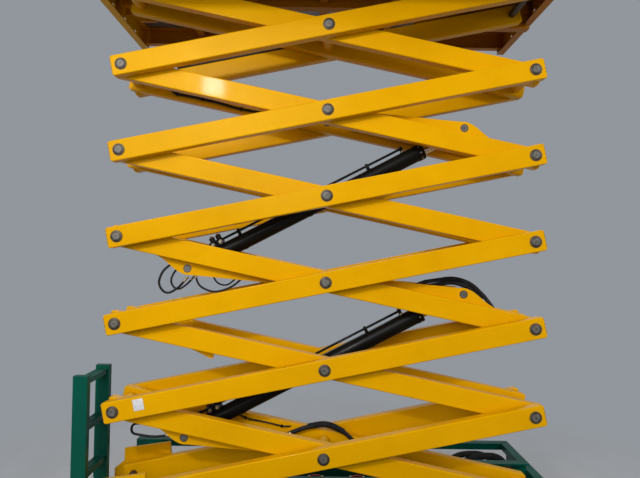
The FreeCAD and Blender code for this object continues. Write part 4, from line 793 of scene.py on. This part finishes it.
# Pump unit and charger
# A steel oil tank with filler cap, the electric motor bolted to its pump and valve block, and a finned
# charger on the compartment floor.
BAY_WIDTH, BAY_LOW = 0.488, SKIRT_BOTTOM + END_PLATE
BAY_SIDE = -RAIL_OUTER - BAY_WIDTH
TANK_LENGTH, TANK_WIDTH, TANK_HEIGHT = 0.42, BAY_WIDTH - 0.17, 0.205
CHARGER_LENGTH, CHARGER_FINS, FIN_PITCH = 0.26, 16, 0.0145
MOTOR = [(0, 0.04), (0.006, 0.056), (0.018, 0.06), (0.02, 0.0695), (0.045, 0.0695), (0.047, 0.064),
         (0.195, 0.064), (0.197, 0.0695), (0.215, 0.0695), (0.217, 0.045), (0.235, 0.045)]
FILLER_CAP = [(0, 0.03), (0.01, 0.03), (0.01, 0.024), (0.022, 0.024), (0.0255, 0.018)]
FILTER_COVER = [(0, 0.04), (0.016, 0.04), (0.02, 0.034), (0.024, 0.01)]
tank_mesh, motor_mesh, fittings = new_meshes(3)
tank = Matrix.Translation((BAY_BACK + 0.12, BAY_SIDE + 0.09, BAY_LOW))
block(tank_mesh, (0, 0, 0), (TANK_LENGTH, TANK_WIDTH, TANK_HEIGHT), 0.012, tank)
block(tank_mesh, (-0.002, -0.002, 0.19), (TANK_LENGTH + 0.002, TANK_WIDTH + 0.002, 0.198), 0.002, tank)
for x in (0.02, 0.12, 0.21, 0.3, 0.4):
    for y in (0.02, TANK_WIDTH - 0.02):
        hex_head(fittings, (x, y, TANK_HEIGHT), UP, 0.005, 0.004, tank)
lathe(fittings, (0.1, 0.1, TANK_HEIGHT - 0.001), UP, FILLER_CAP, 20, tank)
lathe(fittings, (0.32, 0.1, TANK_HEIGHT - 0.001), UP, FILTER_COVER, 32, tank)
motor = Matrix.Translation((BAY_BACK + 0.6, BAY_SIDE + BAY_WIDTH / 2, BAY_LOW + 0.07))
lathe(motor_mesh, (0, 0, 0), AHEAD, MOTOR, 40, motor)
block(motor_mesh, (0.235, -0.045, -0.045), (0.29, 0.045, 0.06), 0.004, motor)
lathe(motor_mesh, (0.29, 0, 0), AHEAD, [(0, 0.038), (0.034, 0.038), (0.04, 0.03)], 32, motor)
for y in (-0.02, 0.02):
    hex_head(fittings, (0.09, y, 0.062), UP, 0.006, 0.008, motor)
for y, z in ((-0.03, 0.045), (0.03, 0.045), (-0.03, -0.03), (0.03, -0.03)):
    hex_head(fittings, (0.29, y, z), AHEAD, 0.005, 0.005, motor)
charger = Matrix.Translation((BAY_BACK + 1.0, BAY_SIDE + BAY_WIDTH / 4, BAY_LOW))
block(motor_mesh, (0, 0, 0), (CHARGER_LENGTH, BAY_WIDTH / 2, 0.11), 0.004, charger)
for fin in range(CHARGER_FINS):
    plate(motor_mesh, (CHARGER_LENGTH / 2, 0.012 + fin * FIN_PITCH, 0.133), (0.12, 0.0018, 0.025), 0.0008, charger)
tank_piece = piece("oil_tank", tank_mesh, case_plastic, "chassis")
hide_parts("power_unit")
piece("pump_and_charger", motor_mesh, black, "chassis")
piece("pump_unit_fittings", fittings, zinc, "chassis")

# Axles and steering
# Box beams under the main rails, forged knuckles on kingpins, and a tie rod with jointed ends.
axle_nuts, rod_nuts = new_meshes(2)
front_axle, rod_x = STACK_X + AXLE_X, STACK_X + AXLE_X - 0.15
LOCK_NUT = [(0, 0.014), (0.008, 0.014), (0.009, 0.012)]
for side in SIDES:
    for way, z in ((UP, 0.26), (DOWN, 0.146)):
        hex_head(axle_nuts, (front_axle, side * KINGPIN_Y, z), way, 0.013, 0.009)
    for axle in (-AXLE_X, AXLE_X):
        for x in (-0.022, 0.022):
            hex_head(axle_nuts, (STACK_X + axle + x, side * 0.305, 0.248), UP, 0.009, 0.008)
    hex_head(rod_nuts, (rod_x, side * KINGPIN_Y, 0.165), DOWN, 0.01, 0.009)
    for y in (0.56, 0.5):
        lathe(rod_nuts, (rod_x, side * y, 0.1796), (0, -side, 0), LOCK_NUT, 6)
piece("axle_nuts", axle_nuts, zinc, "chassis")
piece("tie_rod_nuts", rod_nuts, zinc, "tie_rod")

# Wheels
# Solid non-marking grey rubber moulded on pressed discs, with shoulder blocks, a wear groove, five wheel
# nuts and a pressed hub cap.
rubber = scratched("grey_rubber", "tyre_rubber", 0.25, 0.34, (0.7, 0.9), 0.0, 30, 0.35)
wheel_paint = scratched("wheel_paint", "wheel_paint", 0.17, 0.24, (0.35, 0.5))
WHEELS = {"rear_left": (-AXLE_X, 1), "rear_right": (-AXLE_X, -1),
          "front_left": (AXLE_X, 1), "front_right": (AXLE_X, -1)}
WHEEL_INNER, WHEEL_WIDTH, WHEEL_RADIUS, RIM_RADIUS = 0.665, 0.127, 0.203, 0.14
TREAD_STEPS, BLOCK_STEPS, NUT_CIRCLE = 160, 5, 0.048
HALF_TREAD = [  # across the tyre, radius, depth of the cuts between the blocks
    (0.003, RIM_RADIUS, 0), (0.0, RIM_RADIUS + 0.004, 0), (0.0, 0.158, 0), (0.002, 0.162, 0), (0.001, 0.182, 0),
    (0.004, 0.1885, 0.004), (0.01, 0.196, 0.006), (0.018, 0.2015, 0.006), (0.03, WHEEL_RADIUS, 0.005),
    (0.042, WHEEL_RADIUS, 0), (0.0595, WHEEL_RADIUS, 0), (0.06, WHEEL_RADIUS - 0.006, 0)]
TREAD = HALF_TREAD + [(WHEEL_WIDTH - across, radius, cut) for across, radius, cut in reversed(HALF_TREAD)]
HUB_FACE = WHEEL_INNER + WHEEL_WIDTH - 0.0065
HUB_CAP = [(0, 0.034), (0.004, 0.034), (0.01, 0.03), (0.0125, 0.02), (0.013, 0.004)]
STUD_HEAD = [(0, 0.003), (0.0012, 0.0026), (0.0018, 0.0014)]
finish([f"tyre_{name}" for name in WHEELS], rubber)
finish([f"wheel_{name}" for name in WHEELS], wheel_paint)
for name, (x, side) in WHEELS.items():
    place = Matrix.Translation((STACK_X + x, 0, AXLE_HEIGHT)) @ Matrix.Diagonal((1, side, 1, 1))
    tread, disc, nuts = new_meshes(3)
    rings = []
    for step, spot in enumerate(circle(1, TREAD_STEPS)):
        cut_here = 0 if step % BLOCK_STEPS else 1
        ring = [(WHEEL_INNER + across, radius - cut * cut_here) for across, radius, cut in TREAD]
        rings.append([place @ Vector((radius * spot.x, y, radius * spot.y)) for y, radius in ring])
    loft(tread, rings, True)
    lathe(disc, (0, HUB_FACE, 0), OUT, HUB_CAP, 40, place)
    weld_ring(disc, place @ Vector((0, WHEEL_INNER + WHEEL_WIDTH - 0.049, 0)), OUT, 0.063, THIN_WELD)
    for spot in circle(RIM_RADIUS - 0.011, 20, math.pi / 20):
        lathe(disc, (spot.x, WHEEL_INNER + WHEEL_WIDTH - 0.021, spot.y), OUT, STUD_HEAD, 8, place)
    for spot in circle(NUT_CIRCLE, 5, math.pi / 10):
        hex_head(nuts, (spot.x, HUB_FACE, spot.y), OUT, 0.0095, 0.012, place)
        bar(nuts, (spot.x, HUB_FACE, spot.y), (spot.x, HUB_FACE + 0.015, spot.y), 0.0055, 0.0008, 12, place)
    tyre_piece = piece(f"tyre_tread_{name}", tread, rubber, f"wheel_{name}", 30)
    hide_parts(f"tyre_{name}")
    piece(f"wheel_trim_{name}", disc, wheel_paint, f"wheel_{name}")
    piece(f"wheel_nuts_{name}", nuts, zinc, f"wheel_{name}")

# Ladder
# Folded steel stiles and rungs welded together and bolted to the end plate, the rungs punched for grip.
ladder_low, ladder_high = box("ladder")
beads, grips, bolts = new_meshes(3)
STILE, RUNG_DEPTH, RUNG_TOP, RUNG_PITCH = 0.04, 0.032, 0.398, 0.272
GRIP = [(0, 0.0075), (0.0018, 0.006), (0.0022, 0.0052), (0.0004, 0.0045)]
near_x, far_x, rung_y = ladder_low.x + 0.01, ladder_high.x - 0.01, ladder_high.y - STILE
for index in range(4):
    top = RUNG_TOP + index * RUNG_PITCH
    low = top - RUNG_DEPTH
    for y in (-rung_y, rung_y):
        weld(beads, [(near_x, y, top), (far_x, y, top), (far_x, y, low), (near_x, y, low)], THIN_WELD, True)
    for x in (0.028, 0.056):
        for hole in range(9):
            lathe(grips, (ladder_low.x + x, -0.104 + 0.026 * hole, top), UP, GRIP, 12)
for side in SIDES:
    for z in (0.36, 0.41):
        hex_head(bolts, (ladder_low.x + 0.025, side * ladder_high.y, z), (0, side, 0), 0.008, 0.007)
piece("ladder_welds", beads, green, "chassis", BEAD_ANGLE)
piece("ladder_grips", grips, green, "chassis")
piece("ladder_bolts", bolts, zinc, "chassis")

# Platform underframe
# Folded steel channels with slotted end beams, welded up and sprayed with the stack; the roller tracks
# hang from two deep rails. Inside its outer faces the yellow carries a painted shade of deep orange-brown.
deck_low, deck_high = box("platform_floor")
frame_low, frame_high = box("platform_frame")
PLATE_UNDER, DECK = deck_low.z, deck_high.z
BEAM_WIDTH, BEAM_DEPTH, RAIL_TUBE = 0.05, 0.056, 0.019
# Painted shade: every face inside the outer faces of the side and end beams is mixed three quarters of the way to a
# deep orange-brown, and the outer faces keep the plain yellow.
PAINTED_SHADE_SHARE, PAINTED_SHADE_COLOUR = 0.75, (0.33, 0.085, 0.0)
painted_shade_enamel = gloss_paint("underframe_painted_shade", "platform_yellow", *YELLOW, (0.07, 0.03, 0.01), 0.8, sheen=(1, 0.6, 0.1))
place = painted_shade_enamel.node("SeparateXYZ", {"Vector": painted_shade_enamel.vector}).outputs
inside_y = painted_shade_enamel.math("LESS_THAN", painted_shade_enamel.math("ABSOLUTE", place["Y"]), HALF_WIDTH - 0.002)
inside_x = painted_shade_enamel.math("LESS_THAN", painted_shade_enamel.math("ABSOLUTE", painted_shade_enamel.math("SUBTRACT", place["X"], STACK_X)),
                       frame_high.x - STACK_X - 0.002)
painted_shade_mask = painted_shade_enamel.math("MULTIPLY", painted_shade_enamel.math("MULTIPLY", inside_y, inside_x), PAINTED_SHADE_SHARE)
enamel = painted_shade_enamel.shader.inputs["Base Color"].links[0].from_socket
painted_shade_enamel.shade({"Base Color": painted_shade_enamel.blend(painted_shade_mask, enamel, PAINTED_SHADE_COLOUR)})
finish(["platform_frame"], painted_shade_enamel)
finish(["guard_rails", "gate", "extension_rails"], yellow)
beads = bmesh.new()
for index in range(1, 6):
    middle = deck_low.x + index * (deck_high.x - deck_low.x) / 6
    faces = (middle - BEAM_WIDTH / 2, middle + BEAM_WIDTH / 2)
    for x in faces:
        for y in (-RAIL_INNER, RAIL_INNER, -RAIL_OUTER, RAIL_OUTER):
            weld(beads, [(x, y, PLATE_UNDER - BEAM_DEPTH), (x, y, PLATE_UNDER)])
    for side in SIDES:
        weld(beads, [(x, side * (HALF_WIDTH - BEAM_WIDTH), PLATE_UNDER - BEAM_DEPTH) for x in faces])
for x in (frame_low.x + 0.006, frame_high.x - 0.006):
    for y in (-RAIL_INNER, -RAIL_OUTER, RAIL_INNER, RAIL_OUTER):
        weld(beads, [(x, y, PLATE_UNDER - 0.09), (x, y, PLATE_UNDER - 0.004)])
for side in SIDES:
    for y in BASE_PLATE_FACES:
        weld(beads, [(LEFT + x, side * y, TOP_PIN_HEIGHT + 0.06) for x in (-0.105, 0.105)])
piece("underframe_welds", beads, painted_shade_enamel, "platform", BEAD_ANGLE)

# Deck plates
# Aluminium tread sheet with raised bars in alternating pairs, laid on the platform and roll-out frames
# and screwed down along the edges, dulled by boots.
TREAD_PITCH = 0.03
sheet = Surface("tread_plate", "deck_plate")
place = sheet.node("SeparateXYZ", {"Vector": sheet.vector}).outputs


def cell(axis):
    """Position inside one cell of the tread pattern, from -0.5 to 0.5, and the cell's number."""
    scaled = sheet.math("DIVIDE", place[axis], TREAD_PITCH)
    whole = sheet.math("FLOOR", scaled)
    return sheet.math("SUBTRACT", sheet.math("SUBTRACT", scaled, whole), 0.5), whole


def squared(value, stretch):
    return sheet.math("POWER", sheet.math("ABSOLUTE", sheet.math("MULTIPLY", value, stretch)), 2.0)


across, column = cell("X")
along, row = cell("Y")
odd = sheet.math("PINGPONG", sheet.math("ADD", column, row), 1.0)
turned = sheet.math("MULTIPLY", along, sheet.math("SUBTRACT", 1.0, sheet.math("MULTIPLY", odd, 2.0)))
reach = sheet.math("ADD", squared(sheet.math("ADD", across, turned), 1.55),
                   squared(sheet.math("SUBTRACT", across, turned), 5.2))
raised = sheet.ramp(reach, 0.55, 0.95, 1, 0)
scuff = sheet.noise(14, 6, 0.7)
worn, clean = (sheet.ramp(scuff, 0.35, 0.7, *tones) for tones in ((0.22, 0.36), (0.42, 0.6)))
sheet.shade({"Base Color": sheet.blend(raised, worn, clean), "Roughness": sheet.ramp(scuff, 0.3, 0.75, 0.3, 0.5),
             "Metallic": 0.85})
sheet.bump(raised, 0.8, 0.0016)
finish(["platform_floor", "extension_floor"], sheet)

# Guard rails and gate
# Round tube rails welded at every crossing, kick boards screwed to the posts, and a gate on hinge rings
# with a spring latch.
TOP_BAR, MID_BAR = 1.1 - RAIL_TUBE, 0.55
RAIL_CROSSINGS = (TOP_BAR - RAIL_TUBE, MID_BAR - RAIL_TUBE, MID_BAR + RAIL_TUBE)
RAIL_Y, GATE_POST_Y = HALF_WIDTH - RAIL_TUBE, 0.28 + RAIL_TUBE
beads, screws = new_meshes(2)


def post_welds(mesh, foot, foot_radius, foot_weld, crossings, radius):
    """The weld round the foot of a post and the ones at the crossings above it."""
    weld_ring(mesh, foot + Vector((0, 0, 0.002)), UP, foot_radius, foot_weld)
    for height in crossings:
        weld_ring(mesh, foot + Vector((0, 0, height)), UP, radius, THIN_WELD)


gate_x = deck_low.x + RAIL_TUBE
posts = [(gate_x + index * (deck_high.x - RAIL_TUBE - gate_x) / 3, side * RAIL_Y) for index in range(4)
         for side in SIDES]
for x, y in posts + [(gate_x, side * GATE_POST_Y) for side in SIDES]:
    post_welds(beads, Vector((x, y, DECK)), RAIL_TUBE + 0.0005, 0.0035, RAIL_CROSSINGS, RAIL_TUBE - 0.001)
for x, y in posts:
    side = math.copysign(1, y)
    for height in (0.035, 0.115):
        hex_head(screws, (x, side * (HALF_WIDTH - 0.012), DECK + height), (0, -side, 0), 0.006, 0.005)
piece("rail_welds", beads, yellow, "platform", BEAD_ANGLE)
piece("kick_board_screws", screws, zinc, "platform")
latch = bmesh.new()
latch_frame = Matrix.Translation((gate_x, -0.258, DECK + 0.9))
BOLT_X, COIL_RADIUS = 0.027, 0.0095
block(latch, (0.014, -0.03, -0.03), (0.02, 0.016, 0.03), 0.001, latch_frame)
bar(latch, (BOLT_X, 0.055, 0), (BOLT_X, -0.026, 0), 0.0065, place=latch_frame)
spring = [(BOLT_X + COIL_RADIUS * math.cos(0.5 * math.pi * n), 0.01 + 0.0006 * n,
           COIL_RADIUS * math.sin(0.5 * math.pi * n)) for n in range(49)]
sweep(latch, spring, 0.0012, 6, place=latch_frame)
lathe(latch, (BOLT_X, 0.055, 0), OUT, [(0, 0.008), (0.004, 0.012), (0.014, 0.012), (0.018, 0.008)], 20, latch_frame)
piece("gate_latch", latch, pin_steel, "gate")

# Roll-out deck
# A tread-plate deck on rollers with its own end rail, pushed out by two grab handles and held by a foot
# pin.
roll_low, roll_high = box("extension_floor")
POST_RADIUS, GRIP_RIBS, RIB_STEP = 0.016, 9, 0.014
ROLL_CROSSINGS = (0.503, 0.537, 1.007)
GRIP_RIB = [(0, 0.018), (0.001, 0.0208), (0.005, 0.0208), (0.006, 0.018)]
ROLL_TOP, roll_y = roll_high.z, roll_high.y - POST_RADIUS
beads, grips, pin = new_meshes(3)
for x in (roll_low.x + POST_RADIUS, (roll_low.x + roll_high.x) / 2, roll_high.x - POST_RADIUS):
    for side in SIDES:
        post_welds(beads, Vector((x, side * roll_y, ROLL_TOP)), POST_RADIUS + 0.0005, THIN_WELD, ROLL_CROSSINGS,
                   POST_RADIUS)
for side in SIDES:
    x, y = roll_low.x + POST_RADIUS, side * roll_y
    bar(grips, (x, y, ROLL_TOP + 0.62), (x, y, ROLL_TOP + 0.76), POST_RADIUS + 0.0035, 0.002, 24)
    for rib in range(GRIP_RIBS):
        lathe(grips, (x, y, ROLL_TOP + 0.631 + RIB_STEP * rib), UP, GRIP_RIB, 24)
foot = Vector((roll_low.x + 0.06, 0.52, ROLL_TOP))
knob = foot + Vector((0, 0, 0.05))
bar(pin, foot, knob, 0.007)
lathe(pin, knob, UP, [(0, 0.01), (0.004, 0.018), (0.008, 0.018), (0.012, 0.012)], 24)
lathe(pin, foot, UP, [(0, 0.014), (0.01, 0.014), (0.012, 0.011)], 24)
piece("extension_welds", beads, yellow, "extension", BEAD_ANGLE)
piece("extension_grips", grips, coil_plastic, "extension")
piece("extension_pin", pin, pin_steel, "extension")

# Control box
# A moulded black housing with a sloped top: joystick in its boot, red stop button, key switch and a row
# of guarded buttons. It hangs on the roll-out rail from two hooks.
box_low, box_high = box("control_box")
place = Matrix.Translation(box_low)
depth, width, height = box_high - box_low
SLOPE_START, SLOPE_DEPTH, SLOPE_END = 0.105, 0.068, height - 0.04
OUTLINE = [(0, 0.002), (0, SLOPE_START), (SLOPE_DEPTH, SLOPE_END), (depth, SLOPE_END), (depth, 0.002)]
JOYSTICK = [(0, 0.03), (0.004, 0.029), (0.007, 0.022), (0.01, 0.024), (0.013, 0.017), (0.016, 0.018),
            (0.02, 0.01), (0.046, 0.008), (0.048, 0.013), (0.066, 0.014), (0.072, 0.008)]
STOP_BUTTON = [(0, 0.012), (0.012, 0.012), (0.013, 0.021), (0.02, 0.021), (0.026, 0.014), (0.028, 0.004)]
BUTTON = [(0, 0.0085), (0.005, 0.0085), (0.0055, 0.0065), (0.004, 0.006)]
housing, fascia, knobs, stop, stop_plate = new_meshes(5)
loft(housing, [[place @ Vector((x, y, z)) for x, z in OUTLINE] for y in (0, width)])
round_edges(housing, housing.edges[:], 0.006, 3)
slope = math.atan2(SLOPE_END - SLOPE_START, SLOPE_DEPTH)
panel = place @ Matrix.Translation((0.034, width / 2, 0.1325)) @ Matrix.Rotation(-slope, 4, "Y")
block(fascia, (-0.036, -0.118, -0.001), (0.036, 0.118, 0.0022), 0.0008, panel)
lathe(knobs, (0, -0.07, 0.002), UP, JOYSTICK, 28, panel)
lathe(stop, (0, 0.078, 0.002), UP, STOP_BUTTON, 32, panel)
lathe(stop_plate, (0, 0.078, 0.002), UP, [(0, 0.026), (0.0015, 0.026), (0.002, 0.025)], 32, panel)
lathe(knobs, (0, 0.034, 0.002), UP, [(0, 0.011), (0.004, 0.011), (0.006, 0.009)], 24, panel)
block(knobs, (-0.0015, 0.026, 0.007), (0.0015, 0.042, 0.022), 0.0006, panel)
for x in (-0.018, 0.018):
    for y in (-0.028, -0.004):
        lathe(knobs, (x, y, 0.002), UP, BUTTON, 20, panel)
for y in (width / 2 - 0.09, width / 2 + 0.09):
    block(fascia, (depth - 0.03, y - 0.012, 0.15), (depth - 0.024, y + 0.012, height - 0.004), 0.001, place)
control_piece = piece("control_housing", housing, case_plastic, "extension")
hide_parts("control_box")
piece("control_fascia", fascia, lid_plastic, "extension")
piece("control_knobs", knobs, coil_plastic, "extension")
piece("control_stop", stop, red_cover, "extension")
piece("control_stop_plate", stop_plate, yellow, "extension")
